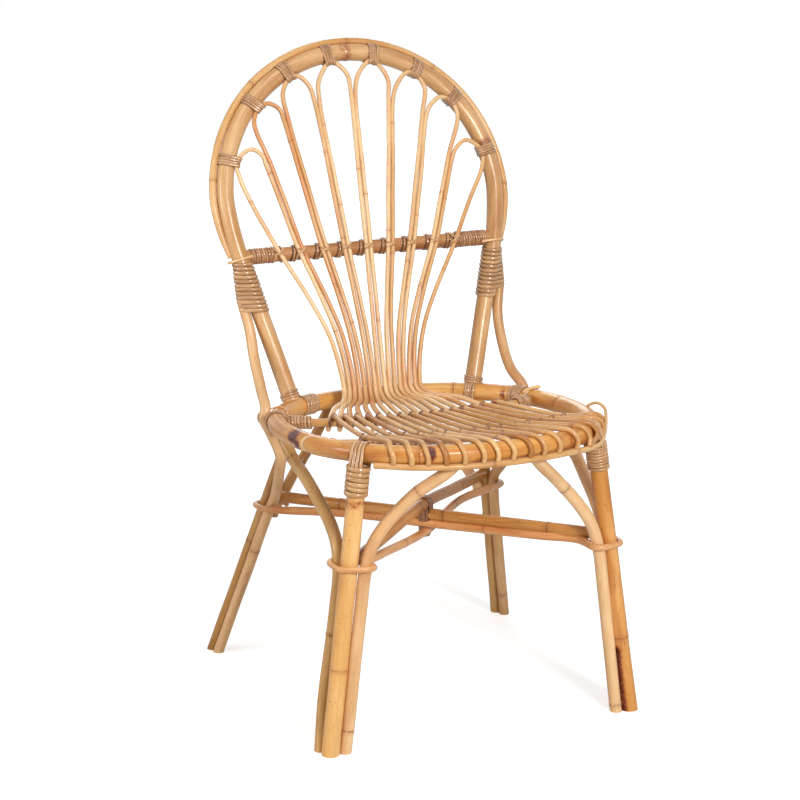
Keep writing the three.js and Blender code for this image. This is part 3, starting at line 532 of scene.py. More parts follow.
# Crossbar. A straight cane between the posts under a skin of brown peel. Close turns cover its
# two ends, and a crossed knot of peel holds each pair of back canes in front of it.
crossbar_rise = 655
crossbar_tilt = 4
crossbar_cane = 20
crossbar_wrap = 1.4
back_cane = 6.8
bar_turn_pitch = 3.9
crossing_shares = (-0.684, -0.5245, -0.3535, -0.192, -0.03, 0.132, 0.2935, 0.4645, 0.624)
strand_front = (crossbar_cane + back_cane) / 2 + crossbar_wrap + 0.35


def crossbar_point(across, front=0.0, lift=0.0):
    share = across / knee_half_width
    return back_point(across, crossbar_rise + crossbar_tilt * share + lift, front)


def peel_skin(name, pale, brown, gloss=0.25, coat=0.7):
    """Brown outer skin of the cane, split into strips: fine lines along each strip, darker edges painted as
    the shade in the grooves between turns, and a hard shine."""
    attribute, pattern, between, _, mix, varnish = skin_steps(name)
    lines = pattern((30, 1500, 1500), 3)
    patches = pattern((22, 120, 120), 2)
    dark = tuple(value * 0.3 for value in brown[:3]) + (1.0,)
    colour = mix(between(patches, 0.35, 0.65), brown, pale)
    colour = mix(between(lines, 0.55, 0.75, 0.0, 0.25), colour, dark)
    colour = mix(between(attribute("tint"), 0.0, 1.0, 0.0, 0.4), colour, brown)
    # Painted shade: each strip is darkened towards its two edges, in the grooves between neighbouring turns.
    colour = mix(between(attribute("edge"), 0.7, 1.0, 0.0, 0.7), colour, dark)
    dull = between(lines, 0.3, 0.7, gloss - 0.05, gloss + 0.09)
    return varnish(colour, dull, lines, strength=0.3, depth=0.0003, coat=coat, coat_dull=0.12, coat_ior=1.5)


let_go()
turn_steps, strip_steps = 32, 8
bpy.ops.mesh.primitive_torus_add(major_segments=turn_steps, minor_segments=strip_steps,
                                 major_radius=0.02, minor_radius=0.002)
plain_turn = bpy.context.object
plain_turn.select_set(False)


def band_point(circles, angle, grow):
    """Where a taut strip round several canes lies, looking along them."""
    facing = Vector((math.cos(angle), math.sin(angle)))
    centre, radius = max(circles, key=lambda circle: Vector(circle[0]).dot(facing) + circle[1])
    return Vector(centre) + facing * (radius + grow), facing


def wind_turn(name, origin, right, ahead, circles, width=4.0, thick=2.0, sink=0.25, lean=0.0, seed=0):
    """One turn of a strip of peel drawn round canes: a ring pressed to their outline."""
    turn = plain_turn.copy()
    turn.data = plain_turn.data.copy()
    turn.name = name
    bpy.context.collection.objects.link(turn)
    axis = right.cross(ahead).normalized()
    rng = random.Random(f"{name} {seed}")
    slack = rng.uniform(-0.15, 0.3)
    phase = rng.uniform(-0.5, 0.5)
    spots, grain, edge = [], [], []
    run = 0.0
    last = None
    for major in range(turn_steps):
        angle = major / turn_steps * 2 * math.pi
        place, facing = band_point(circles, angle, thick / 2 - sink + slack)
        run += 0 if last is None else (place - last).length
        last = place
        centre = origin + right * place.x + ahead * place.y
        outward = right * facing.x + ahead * facing.y
        slope = lean * math.sin(angle + phase)
        for minor in range(strip_steps):
            round_strip = minor / strip_steps * 2 * math.pi
            flat = math.sin(round_strip) * width / 2
            point = centre + outward * (math.cos(round_strip) * thick / 2) + axis * (flat + slope)
            spots += [*(point * 0.001)]
            grain += [run * 0.001 + seed * 0.7, flat * 0.001, thick * 0.0005 * math.cos(round_strip)]
            edge.append(abs(math.sin(round_strip)))
    turn.data.vertices.foreach_set("co", spots)
    for called, values in (("grain", grain), ("edge", edge), ("tint", [rng.random()] * len(edge))):
        note(turn, called, values)
    return turn


def finish_turns(name, turns):
    """Joins the turns of a lashing and smooths them, with their skins facing outwards."""
    lashing = gather(name, turns)
    lashing.select_set(True)
    bpy.context.view_layer.objects.active = lashing
    bpy.ops.object.mode_set(mode="EDIT")
    bpy.ops.mesh.select_all(action="SELECT")
    bpy.ops.mesh.normals_make_consistent(inside=False)
    bpy.ops.object.mode_set(mode="OBJECT")
    bpy.ops.object.shade_smooth()
    lashing.select_set(False)
    return lashing


peel = peel_skin("peel", paint(206, 160, 114), paint(160, 112, 70))
bar_half = knee_half_width - 6
bar_line = [crossbar_point(-bar_half + 2 * bar_half * step / 100) for step in range(101)]
crossbar = lay_cane("crossbar", bar_line, crossbar_cane + crossbar_wrap * 1.6, seed=4, facets=8, wander=0.3)
bar_skin = varnished_cane("crossbar", paint(206, 149, 96), paint(155, 94, 44), paint(110, 52, 22),
                          stains=0.45, specks=0.5, gloss=0.26, coat=0.7)
finish_piece(crossbar, bar_skin, "crossbar", "crossbar")

in_front = back_point(0, 0, 1) - back_point(0, 0)
up_the_back = back_point(0, 1) - back_point(0, 0)
bar_turns, seams = [], []
skin_of_bar = [((0, 0), crossbar_cane / 2 + crossbar_wrap * 0.6)]
under_knot = [((0, 0), crossbar_cane / 2 + crossbar_wrap * 0.7)]
for side_name, side in sides:
    single = hoop_radius * (crossing_shares[0] if side < 0 else crossing_shares[-1])
    inner, outer = abs(single) + 4, knee_half_width - hoop_cane / 2 - 1
    count = round((outer - inner) / bar_turn_pitch)
    for step in range(count):
        across = side * (inner + (outer - inner) * (step + 0.5) / count)
        bar_turns.append(wind_turn(f"bar_turn_{side_name}_{step}", crossbar_point(across), in_front,
                                   up_the_back, skin_of_bar, 4.1, 1.8, lean=0.9, seed=step))
for number, share in enumerate(crossing_shares):
    across = hoop_radius * share
    for beside, width, thick in ((-9.5, 5.2, 2.0), (-4.6, 4.2, 1.6)):
        bar_turns.append(wind_turn(f"knot_turn_{number}_{beside}", crossbar_point(across + beside), in_front,
                                   up_the_back, under_knot, width, thick, lean=-2.2, seed=number + 20))
    # Painted shade: a thin dark turn just left of each knot stands for the shade line at the edge of the
    # knot's turns.
    seams.append(wind_turn(f"seam_{number}", crossbar_point(across - 12.6), in_front, up_the_back,
                           skin_of_bar, 1.5, 1.4, sink=0.3, lean=-2.6, seed=number + 40))
crossbar_turns = finish_turns("crossbar_turns", bar_turns)
bar_peel = peel_skin("bar_peel", paint(202, 152, 106), paint(150, 98, 58))
finish_piece(crossbar_turns, bar_peel, "peel")
crossbar_seams = finish_turns("crossbar_seams", seams)
shade_line_peel = peel_skin("shade_line_peel", paint(112, 70, 46), paint(74, 42, 26))
finish_piece(crossbar_seams, shade_line_peel, "peel")

# Knots on the crossbar: two strips of pale peel that cross over each pair of back canes and go
# round behind the bar. Each end of the bar is tied to the hoop and the outer cane by one pale strip.
knots = []
for number, share in enumerate(crossing_shares):
    across = hoop_radius * share
    rng = random.Random(number + 300)
    for slant in (-1, 1):
        line = []
        spread = rng.uniform(6.0, 8.5)
        circles = [((0, 0), crossbar_cane / 2 + crossbar_wrap),
                   ((strand_front, rng.uniform(-1, 1)), back_cane / 2)]
        over = 0.9 if slant > 0 else 0.0
        for step in range(21):
            angle = math.pi * (step / 20 - 0.5) * 1.2
            place, _ = band_point(circles, angle, 0.8 + over * math.exp(-(angle / 0.5) ** 2))
            line.append(crossbar_point(across + slant * spread * math.sin(angle), place.x, place.y))
        knots.append(lay_cane(f"knot_{number}_{slant}", bent_line(line), rng.uniform(2.2, 2.9),
                              seed=number + (40 if slant > 0 else 60), facets=2, spacing=2.5, wander=0.1))
crossbar_knots = gather("crossbar_knots", knots)
knot_skin = varnished_cane("knot_peel", paint(226, 185, 136), paint(189, 134, 82), paint(130, 72, 40),
                           gloss=0.24, coat=0.7)
finish_piece(crossbar_knots, knot_skin, "peel")

ties = []
for side_name, side in sides:
    rise = crossbar_rise + crossbar_tilt * side - (3 if side < 0 else 6)
    up_the_knee = (rise - knee_rise) / (hoop_centre_rise - knee_rise)
    half_width = knee_half_width + (hoop_radius - knee_half_width) * up_the_knee
    slope = (Vector((1, 0, 0)) + up_the_back * (0.2 if side < 0 else 0.05)).normalized()
    ties.append(wind_turn(f"bar_tie_{side_name}", back_point(side * half_width, rise), slope, -in_front,
                          [((0, 0), hoop_cane / 2), ((side * (outer_offset - outer_paring), 3.5), 3.1),
                           ((-side * 17, 0), 9.5)],
                          4.4, 2.2, sink=0.1, lean=0.6, seed=side + 5))
bar_ties = finish_turns("crossbar_ties", ties)
pale_peel = peel_skin("pale_peel", paint(240, 198, 148), paint(222, 168, 112))
finish_piece(bar_ties, pale_peel, "peel")

# Seat bars. Two thin canes bowed forwards across the ring, tied to it at both ends. The back canes
# hook under the rear one and the seat canes over it; the front one carries the seat canes.
seat_bar_cane = 12
seat_cane = 6.5
hook_gap = 0.8
hook_slack = 0.4


def seat_bar(end_angle, middle):
    reach = ring_reach(end_angle)
    half_length = reach * math.cos(end_angle)
    bow = reach * math.sin(end_angle) - middle

    def behind(across):
        return middle + bow * abs(across / half_length) ** 1.6

    def beside(across, front, lift):
        slope = bow * 1.6 * abs(across / half_length) ** 0.6 * math.copysign(1, across) / half_length
        run = math.hypot(1, slope)
        return seat_point(across + front * slope / run, behind(across) - front / run, lift)

    ends = half_length - ring_cane * 0.42
    line = bent_line([
        seat_point(ends * (step / 10 - 1), behind(ends * (step / 10 - 1))) for step in range(21)
    ])
    return line, beside


rear_line, beside_rear = seat_bar(math.radians(24.5), 10)
front_line, beside_front = seat_bar(math.radians(-19.5), -132)
bar_cane_skin = varnished_cane("bar_cane", paint(214, 163, 102), paint(173, 114, 54), paint(120, 58, 26),
                               stains=0.5)
for name, line, seed in (("seat_bar_rear", rear_line, 5), ("seat_bar_front", front_line, 6)):
    bar = lay_cane(name, line, seat_bar_cane, (0.27, 0.7), seed=seed, facets=6)
    finish_piece(bar, bar_cane_skin, "bar_cane", name)


def ring_section(side, angle, shift=0.0):
    """The ring's centre and the outward and upward directions of its section."""
    spread = shift / ring_reach(angle)
    origin = ring_point(side, angle + spread)
    ahead = (ring_point(side, angle + spread + 0.01) - ring_point(side, angle + spread - 0.01)).normalized()
    return origin, ahead.cross(lift_way).normalized() * side, lift_way


bar_ends = []
for side_name, side in sides:
    for name, line, count, width in (("rear", rear_line, 7, 5.2), ("front", front_line, 4, 4.0)):
        along = lengths_along(line)
        for step in range(count):
            distance = 7 + step * (width - 0.4)
            distance = distance if side < 0 else along[-1] - distance
            origin = point_along(line, along, distance)
            run = point_along(line, along, distance + 1) - point_along(line, along, distance - 1)
            out = run.normalized().cross(lift_way).normalized()
            bar_ends.append(wind_turn(f"bar_{name}_{side_name}_{step}", origin, out, lift_way,
                                      [((0, 0), seat_bar_cane / 2 + (1.2 if name == "rear" else 0))],
                                      width, 3.0, lean=1.0, seed=step + 9))
    angle, count = (0.56, 6) if side > 0 else (0.43, 2)
    for step in range(count):
        origin, out, lift = ring_section(side, angle, (step - (count - 1) / 2) * 4.2)
        bar_ends.append(wind_turn(f"corner_{side_name}_{step}", origin, out, lift, [((0, 0), ring_cane / 2)],
                                  4.6, 2.6, lean=1.6, seed=step + 3))
bar_end_turns = finish_turns("seat_bar_lashings", bar_ends)
finish_piece(bar_end_turns, peel, "peel")

# Canes of the back. Eight inverted loops; the crown of each is tied under the hoop, its two legs
# cross the front of the crossbar side by side with the next loop's, draw together into a tight
# bundle, bend forwards and end in a hook under the rear seat bar.
bundle_gap = 1.5
bundle_rise = 454
bundle_shift = -9
hook_pitch = seat_cane + back_cane + hook_gap * 2
hook_beside = 0.25
rear_hook_shares = (-9.2, -8.2, -7.2, -6.2, -5.2, -4.2, -3.15, -2.1,
                    -1.05, 0, 1.15, 2.3, 3.5, 4.75, 6.25, 7.95)
parting_shares = ((-0.82, -0.065), (-0.6875, 0.23), (-0.527, 0.545), (-0.285, 0.66), (-0.012, 0.72),
                  (0.265, 0.66), (0.507, 0.545), (0.6675, 0.23), (0.785, -0.065))
crown_shares = (
    (16, (0.9, 0.15), (0.8, 0.34), (0.722, 0.292)),
    (41.4, (0.757, 0.525), (0.637, 0.652), (0.562, 0.604)),
    (61, (0.526, 0.725), (0.4, 0.832), (0.33, 0.765)),
    (80.5, (0.255, 0.8), (0.112, 0.913), (0.042, 0.835)),
)
crown_seat = (hoop_cane + back_cane) / 2 + 0.2
crown_turn = math.radians(43)
crown_reach = hoop_radius - crown_seat * math.cos(crown_turn)
crown_front = crown_seat * math.sin(crown_turn)


def beside_pair(leg, share, spread):
    knot = (leg + 1) // 2
    alone = knot in (0, 8)
    return hoop_radius * share + (0 if alone else (back_cane + spread) / 2 * (-1 if leg % 2 else 1))


def back_leg(leg):
    knot = (leg + 1) // 2
    crossing = beside_pair(leg, crossing_shares[knot], 0.3)
    bundled = (leg - 7.5) * (back_cane + bundle_gap) + bundle_shift
    hooked = hook_pitch * (rear_hook_shares[leg] - hook_beside)
    reach = (seat_bar_cane + back_cane) / 2 + hook_slack
    under = [beside_rear(hooked, reach * math.cos(place), reach * math.sin(place))
             for place in map(math.radians, (290, 265, 240, 215, 195))]
    turned = [seat_point(bundled + (hooked - bundled) * spread, seat_half_depth * behind, ring_cane * lift)
              for behind, lift, spread in ((0.45, 0.3, 0.62), (0.68, 0.33, 0.12), (0.757, 0.68, 0))]
    drawn = [back_point(crossing + (bundled - crossing) * pull,
                        bundle_rise + (crossbar_rise - bundle_rise) * rise, strand_front)
             for rise, pull in ((0, 1), (0.18, 0.93), (0.38, 0.79), (0.63, 0.5))]
    across, rise = parting_shares[knot]
    crossed = back_point(crossing, crossbar_rise, strand_front)
    parting = back_point(beside_pair(leg, across, 0.9), hoop_centre_rise + hoop_radius * rise, crown_front)
    return under + turned + drawn + [crossed, crossed.lerp(parting, 0.5), parting]


def back_loop(index):
    side = -1 if index < 4 else 1
    touch, outer, apex, inner = crown_shares[index if side < 0 else 7 - index]
    touch = math.radians(touch)

    def place(share):
        rise = hoop_centre_rise + hoop_radius * share[1]
        return back_point(side * hoop_radius * share[0], rise, crown_front)

    seat = back_point(side * crown_reach * math.cos(touch), hoop_centre_rise + crown_reach * math.sin(touch),
                      crown_front)
    legs = (index * 2, index * 2 + 1) if side < 0 else (index * 2 + 1, index * 2)
    crown = [place(outer), seat, place(apex), place(inner)]
    return bent_line(back_leg(legs[0]) + crown + back_leg(legs[1])[::-1]), side, touch


loop_tints = (0.1, 0.85, 0.7, 0.25, 0.15, 0.55, 0.5, 0.62)
loop_knots = ((0.42, 0.55, 0.78), (0.3, 0.56, 0.74), (0.2, 0.6, 0.7), (0.33, 0.42, 0.63), (0.3, 0.66, 0.8),
              (0.27, 0.57, 0.72), (0.25, 0.37, 0.66), (0.3, 0.34, 0.6))
thicker_below = 520
loop_lines = [back_loop(index) for index in range(8)]
loops = []
for index, (line, side, touch) in enumerate(loop_lines):
    run = lengths_along(line)

    def loop_width(share):
        height = point_along(line, run, share * run[-1]).z
        return back_cane * (1.0 + 0.17 * min(1.0, max(0.0, (thicker_below - height) / 110)))

    loops.append(lay_cane(f"back_loop_{index + 1}", line, loop_width,
                          loop_knots[index], seed=20 + index, facets=4, spacing=5, swell=0.07, wander=0.7,
                          tint=loop_tints[index]))
back_canes = gather("back_canes", loops)
back_skin = varnished_cane("back_canes", paint(238, 203, 154), paint(206, 156, 97), paint(206, 118, 68),
                           stains=0.6, specks=0.6, gloss=0.34, coat=0.35, rings=0.6, blush=0.35)
finish_piece(back_canes, back_skin, "back_canes", *[f"back_loop_{index + 1}" for index in range(8)])

# Hoop bindings. Four glossy turns of brown peel that hold the crown of each loop to the hoop.
hoop_turns, hoop_turn_pitch = 4, 4.1
turns = []
centre = back_point(0, hoop_centre_rise)
inwards = -in_front
for index, (line, side, touch) in enumerate(loop_lines):
    for step in range(hoop_turns):
        angle = touch + (step - (hoop_turns - 1) / 2) * hoop_turn_pitch / hoop_radius
        right = back_point(side * math.cos(angle), math.sin(angle)) - back_point(0, 0)
        origin = centre + right * hoop_radius
        ahead = inwards.cross(right)
        close_by = [point - origin for point in line if (point - origin).length < 40]
        crown = min(close_by, key=lambda way: way.dot(ahead) ** 2)
        circles = [((0, 0), hoop_cane / 2), ((crown.dot(right), crown.dot(inwards)), back_cane / 2)]
        turns.append(wind_turn(f"hoop_turn_{index}_{step}", origin, right, inwards, circles, 4.7, 3.0,
                               sink=0.3, lean=1.6 * side, seed=step + index * 4))
hoop_bindings = finish_turns("hoop_bindings", turns)
finish_piece(hoop_bindings, peel, "peel", *[f"hoop_binding_{index + 1}" for index in range(8)])

# Front rim. A thin pale cane nailed under the front of the ring; the tips of the seat canes end on
# it. It swings out round the right leg and its end stands free.
rim_cane = 9
rim_out = 11.5
# Each stop of the rim: degrees from the front, millimetres out from the ring and up
rim_stops = ((-42, 13.5, -13), (-28, 12, -14.5), (-14, 12, -15), (0, 12.5, -15), (14, 12.5, -14.6),
             (26, 13, -14.4), (36, 16.5, -16), (42.5, 21, -15), (47.5, 21.5, -11), (54, 20.5, -2),
             (60, 20, 8), (65, 20.5, 16.5), (69, 15, 21.5), (72, 8.5, 19.5), (74, 3, 14))
rim_line = bent_line([ring_point(1, math.radians(place - 90), out, lift) for place, out, lift in rim_stops])


def rim_width(share):
    return rim_cane - 0.2 - 4.2 * min(1.0, max(0.0, (share - 0.62) / 0.16))


front_rim = lay_cane("front_rim", rim_line, rim_width, (0.32, 0.325, 0.6), seed=7, facets=5)
finish_piece(front_rim, thin_skin, "thin_cane", "front_rim")

# Canes of the seat. Sixteen thin canes, each hooked over the rear bar beside a back cane's hook,
# laid over the front bar and bent down over the front rail to the rim, where its tip is nailed.
front_bar_shares = (-0.67, -0.59, -0.51, -0.421, -0.332, -0.243, -0.159, -0.061,
                    0.037, 0.136, 0.229, 0.34, 0.45, 0.55, 0.65, 0.755)
rail_shares = (-0.618, -0.527, -0.441, -0.341, -0.234, -0.123, -0.036, 0.065,
               0.177, 0.268, 0.384, 0.523, 0.641, 0.727, 0.835, 0.9)


def rail_point(across, out, lift):
    share = abs(across) / seat_half_width
    along = -seat_half_depth * (1 - share ** ring_roundness) ** (1 / ring_roundness)
    return ring_point(math.copysign(1, across), math.atan2(along, abs(across)), out, lift)


def seat_strand(index):
    on_rear = hook_pitch * (rear_hook_shares[index] + hook_beside)
    on_rail = seat_half_width * rail_shares[index]
    bar_reach = (seat_bar_cane + seat_cane) / 2 + hook_slack
    rail_reach = (ring_cane + seat_cane) / 2 + 0.2
    hook = [beside_rear(on_rear, bar_reach * math.cos(place), bar_reach * math.sin(place))
            for place in map(math.radians, (205, 175, 145, 115, 90))]
    over_front = beside_front(seat_half_width * front_bar_shares[index], 0, bar_reach)
    over_rail = [rail_point(on_rail + slant, rail_reach * math.cos(math.radians(place)),
                            rail_reach * math.sin(math.radians(place)))
                 for place, slant in ((108, -8.5), (65, -5), (28, -1.5), (-5, 1))]
    plan = rail_point(on_rail, rim_out, 0)
    turn = math.atan2(plan.x, seat_setback - plan.y)
    tip = min(rim_line[:int(len(rim_line) * 0.66)],
              key=lambda point: abs(math.atan2(point.x, seat_setback - point.y) - turn))
    outward = Vector((plan.x, plan.y - seat_setback, 0)).normalized()
    return bent_line([*hook, over_front, *over_rail, tip + outward * 1.5 + lift_way * 3.5])


rng = random.Random(12)
strands = []
strand_names = [f"seat_strand_{index + 1:02d}" for index in range(16)]
for index, name in enumerate(strand_names):
    width = seat_cane * rng.uniform(1.1, 1.2)
    strands.append(lay_cane(name, seat_strand(index), width, [rng.uniform(0.15, 0.9)], seed=40 + index,
                            facets=4, spacing=4, swell=0.07, wander=0.5))
    # Painted shade: each seat cane is darkened where it hooks over the rear bar, in the shade of the bar and
    # of the hook.
    middle = beside_rear(hook_pitch * (rear_hook_shares[index] + hook_beside), 0, 5)
    mark_scorch_and_shade(strands[-1], lambda spot: 0.75 * math.exp(-((spot - middle).length / 9) ** 2))
seat_canes = gather("seat_canes", strands)
seat_skin = varnished_cane("seat_canes", paint(230, 185, 126), paint(187, 126, 58), paint(150, 72, 34),
                           stains=0.65, specks=0.6, gloss=0.32, coat=0.4, rings=0.6, blush=0.3)
finish_piece(seat_canes, seat_skin, "seat_canes", *strand_names)

# Lashings of the seat bars: at each seat cane a crossed knot of dark peel holds the cane down on
# the front bar, and another one where it hooks over the rear bar.
bar_knots = []
for index, beside_bar, across in (
    *((index, beside_front, seat_half_width * front_bar_shares[index]) for index in range(16)),
    *((index + 16, beside_rear, hook_pitch * (rear_hook_shares[index] + hook_beside)) for index in range(16)),
):
    for slant in (-1, 1):
        line = []
        for step in range(15):
            angle = math.pi * (0.5 + (step / 14 - 0.5) * 1.45)
            aside = slant * 5.5 * math.cos(angle)
            over = math.exp(-(aside / 3.6) ** 2)
            reach = seat_bar_cane / 2 + 0.9 + 6.6 * over * max(0.0, math.sin(angle)) ** 0.5
            line.append(beside_bar(across + aside, reach * math.cos(angle), reach * math.sin(angle)))
        bar_knots.append(lay_cane(f"bar_knot_{index}_{slant}", bent_line(line), 2.6 if index % 2 else 3.2,
                                  seed=index + (80 if slant > 0 else 100), facets=2, spacing=3, wander=0.1))
seat_bar_knots = gather("seat_bar_knots", bar_knots)
bar_knot_skin = varnished_cane("bar_knots", paint(160, 113, 74), paint(109, 64, 32), paint(70, 32, 16),
                               gloss=0.28, coat=0.6)
finish_piece(seat_bar_knots, bar_knot_skin, "peel")

# Front legs. Two thick, straight, splayed canes. Each is nailed under the ring and lashed: strips
# of peel run over the ring and down the leg, and close turns round the leg hold them.
front_leg_cane = 25
front_foot = (231, -238)
front_leg_angle = math.radians(-42.5)
front_leg_set = 8
strap_pitch = 5.1
rear_leg_cane = 18
rear_foot_x = {-1: 247, 1: 241}
rear_foot_y = 243
rear_leg_angle = math.radians(48.5)
rear_leg_set = -11


def front_leg_top(side):
    return ring_point(side, front_leg_angle, front_leg_set, -ring_cane * 0.15)


def rear_leg_top(side):
    return ring_point(side, rear_leg_angle, rear_leg_set, -ring_cane * 0.15)


def front_leg_point(side, height):
    top = front_leg_top(side)
    return Vector((side * front_foot[0], front_foot[1], 0)).lerp(top, height / top.z)


def rear_leg_point(side, height):
    top = rear_leg_top(side)
    return Vector((side * rear_foot_x[side], rear_foot_y, 0)).lerp(top, height / top.z)


def straight(start, end, steps=60):
    return [start.lerp(end, step / steps) for step in range(steps + 1)]


leg_skin = varnished_cane("leg_cane", paint(245, 206, 144), paint(224, 168, 98), paint(176, 98, 40),
                          stains=0.35, specks=1.0, rings=0.5)
orange_leg_skin = varnished_cane("orange_leg_cane", paint(236, 178, 108), paint(206, 138, 62),
                                 paint(150, 62, 20), stains=0.45, specks=0.8, rings=0.4)
leg_knots = {-1: (0.7,), 1: (0.72,)}
lashing_turns = []
for side_name, side in sides:
    top = front_leg_point(side, front_leg_top(side).z - ring_cane / 2 - 1)
    leg = lay_cane(f"front_leg_{side_name}", straight(top, front_leg_point(side, 0)), front_leg_cane,
                   leg_knots[side], seed=120 + side, facets=10, standing=True, wander=0.5)

    def leg_burn(spot):
        if side < 0:
            return 0.5 * math.exp(-((spot.z - 349) / 7) ** 2)
        edge = (front_leg_point(side, spot.z).x - spot.x) / (front_leg_cane / 2)
        low_down = min(1.0, max(0.0, (105 - spot.z) / 12))
        along_edge = 0.66 * max(0.0, min(1.0, (edge - 0.3) / 0.5))
        return low_down * (along_edge + 0.2 * math.exp(-((spot.z - 96) / 9) ** 2))

    mark_scorch_and_shade(leg, leg_burn)
    finish_piece(leg, leg_skin if side < 0 else orange_leg_skin, "leg_cane", f"front_leg_{side_name}")
    leg_axis = (front_leg_top(side) - front_leg_point(side, 0)).normalized()
    out = Vector((1, 0, 0))
    out = (out - leg_axis * out.dot(leg_axis)).normalized()
    round_leg = leg_axis.cross(out)
    count, pitch, thick = (6, 6.9, 3.6) if side < 0 else (9, 4.3, 2.8)
    for step in range(count):
        drop = ring_cane / 2 + 1.5 + step * pitch
        origin = front_leg_top(side) - leg_axis * drop
        lashing_turns.append(wind_turn(f"leg_turn_{side_name}_{step}", origin, out, round_leg,
                                       [((0, 0), front_leg_cane / 2 + 0.9)], pitch + 0.3, thick,
                                       lean=1.2, seed=step + 31))
    for step in range(4):
        shift = (step - 1.5) * strap_pitch
        origin, outward, lift = ring_section(side, front_leg_angle, shift)
        at = front_leg_point(side, front_leg_top(side).z - 18) - origin
        wide = math.sqrt((front_leg_cane / 2 + 0.4) ** 2 - shift ** 2)
        lashing_turns.append(wind_turn(f"leg_strap_{side_name}_{step}", origin, outward, lift,
                                       [((0, 0), ring_cane / 2), ((at.dot(outward), at.dot(lift)), wide)],
                                       5.2, 2.8, sink=0.2, lean=0.0, seed=step + 51))
leg_lashings = finish_turns("leg_lashings", lashing_turns)
leg_peel = peel_skin("leg_peel", paint(216, 170, 118), paint(178, 128, 80))
finish_piece(leg_lashings, leg_peel, "peel", "leg_binding_left", "leg_binding_right")

# Braces. Canes that stand beside the legs, tied to them, and bend away under the ring: one towards
# the front and one towards the side of each front leg, and a short one at each rear leg.
brace_cane = 17
rear_brace_cane = 16
stretcher_cane = 17
stretcher_height = 262.5
brace_bend_height = stretcher_height - stretcher_cane
brace_height_shares = (0, 0.3, 0.65, 0.85, 1)
front_brace_shares = ((0.22, 0.085, -0.1), (0.4, 0.24, -0.1), (0.65, 0.55, 0.15), (0.86, 0.86, 0.79))
side_brace_shares = ((0.22, 0.044, -0.25), (0.38, 0.18, -0.4), (0.5, 0.367, -0.4), (0.64, 0.611, -0.3),
                     (0.74, 0.825, -0.2))
rear_brace_shares = ((0.15, 0.16, 0.2), (0.3, 0.31, 0.5), (0.5, 0.54, 0.9))
leg_to_brace = (front_leg_cane + brace_cane) / 2 + 0.4


def beside_leg(point, side, turn, distance):
    turn = math.radians(turn)
    return point + Vector((side * distance * math.cos(turn), -distance * math.sin(turn), 0))


def standing_stops(leg_at, side, spacing, turns, bows):
    return [beside_leg(leg_at(side, brace_bend_height * share), side, turn, spacing * bow)
            for share, turn, bow in zip(brace_height_shares, turns, bows)]


def bent_brace(stops, end, shares, lengthwise):
    high = stops[-1]
    reach = end - high
    run, aside = ("y", "x") if lengthwise else ("x", "y")
    bends = []
    for rise_share, run_share, aside_share in shares:
        point = high.copy()
        point.z += reach.z * rise_share
        setattr(point, run, getattr(point, run) + getattr(reach, run) * run_share)
        setattr(point, aside, getattr(point, aside) + getattr(reach, aside) * aside_share)
        bends.append(point)
    return bent_line(stops + bends + [end])


def stop_under_ring(line):
    """Ends a cane where it meets the ring, so that its tip is hidden against it."""
    kept = []
    for point in line:
        near = min((point - spot).length for spot in ring_line[::3])
        kept.append(point)
        if near < ring_cane / 2 - 3:
            break
    return kept


brace_skin = varnished_cane("brace_cane", paint(240, 200, 150), paint(216, 164, 108), paint(166, 96, 52),
                            stains=0.3, specks=0.7, rings=0.75)
# A darker copy of the brace skin: painted shade for the side and rear braces on the left, which stand in
# shade.
shaded_brace_skin = varnished_cane("dark_brace_cane", paint(216, 170, 106), paint(172, 120, 58),
                                 paint(130, 76, 32), stains=0.5, specks=0.8)
side_ends = {-1: 20, 1: -5}
brace_knots = {-1: {"front": (0.16, 0.93), "side": (0.09, 0.69), "rear": (0.5,)},
               1: {"front": (0.22, 0.975), "side": (0.45,), "rear": (0.4,)}}
brace_lines = {}
for side_name, side in sides:
    front = standing_stops(front_leg_point, side, leg_to_brace, (180, 172, 163, 158, 156),
                           (1, 1, 1, 1.02, 1.04))
    front = bent_brace(front, ring_point(side, math.radians(-77.7), -3), front_brace_shares, False)
    outer = standing_stops(front_leg_point, side, leg_to_brace, (-70, -86, -84, -80, -78),
                           (1, 1.75, 1.35, 1.12, 1.04))
    outer = bent_brace(outer, ring_point(side, math.radians(side_ends[side])), side_brace_shares, True)
    stub = brace_bend_height - rear_brace_cane
    spacing = (rear_leg_cane + rear_brace_cane) / 2 + 1.0
    rear = [beside_leg(rear_leg_point(side, height), side, 163, spacing)
            for height in (stub, brace_bend_height)]
    rear = bent_brace(rear, ring_point(side, math.radians(72)), rear_brace_shares, False)
    brace_lines[side] = {"front": front, "side": outer, "rear": rear}
    for kind, line in (("front", front), ("side", outer), ("rear", rear)):
        shown = stop_under_ring(line)[::-1]
        width = rear_brace_cane if kind == "rear" else brace_cane + 0.8
        brace = lay_cane(f"{kind}_brace_{side_name}", shown, width, brace_knots[side][kind],
                         seed=140 + len(kind) * 3 + side, facets=7, standing=kind != "rear", wander=0.5)
        skin = shaded_brace_skin if side < 0 and kind != "front" else brace_skin
        finish_piece(brace, skin, "brace_cane", f"{kind}_brace_{side_name}")

# Rear legs and side canes. Each rear leg is a thinner splayed cane; beside it stands the side cane,
# which comes down from the post, passes outside the ring and is tied to the leg.
side_cane = 16
side_tip_cane = 5
side_touch_share = 0.79
side_cane_angle = math.radians(33)
side_turns = {-1: (97, 98, 99, 100), 1: (73, 71, 69, 68)}
junction_top_rise = 639.5
junction_length = 70.5
junction_turns = 12


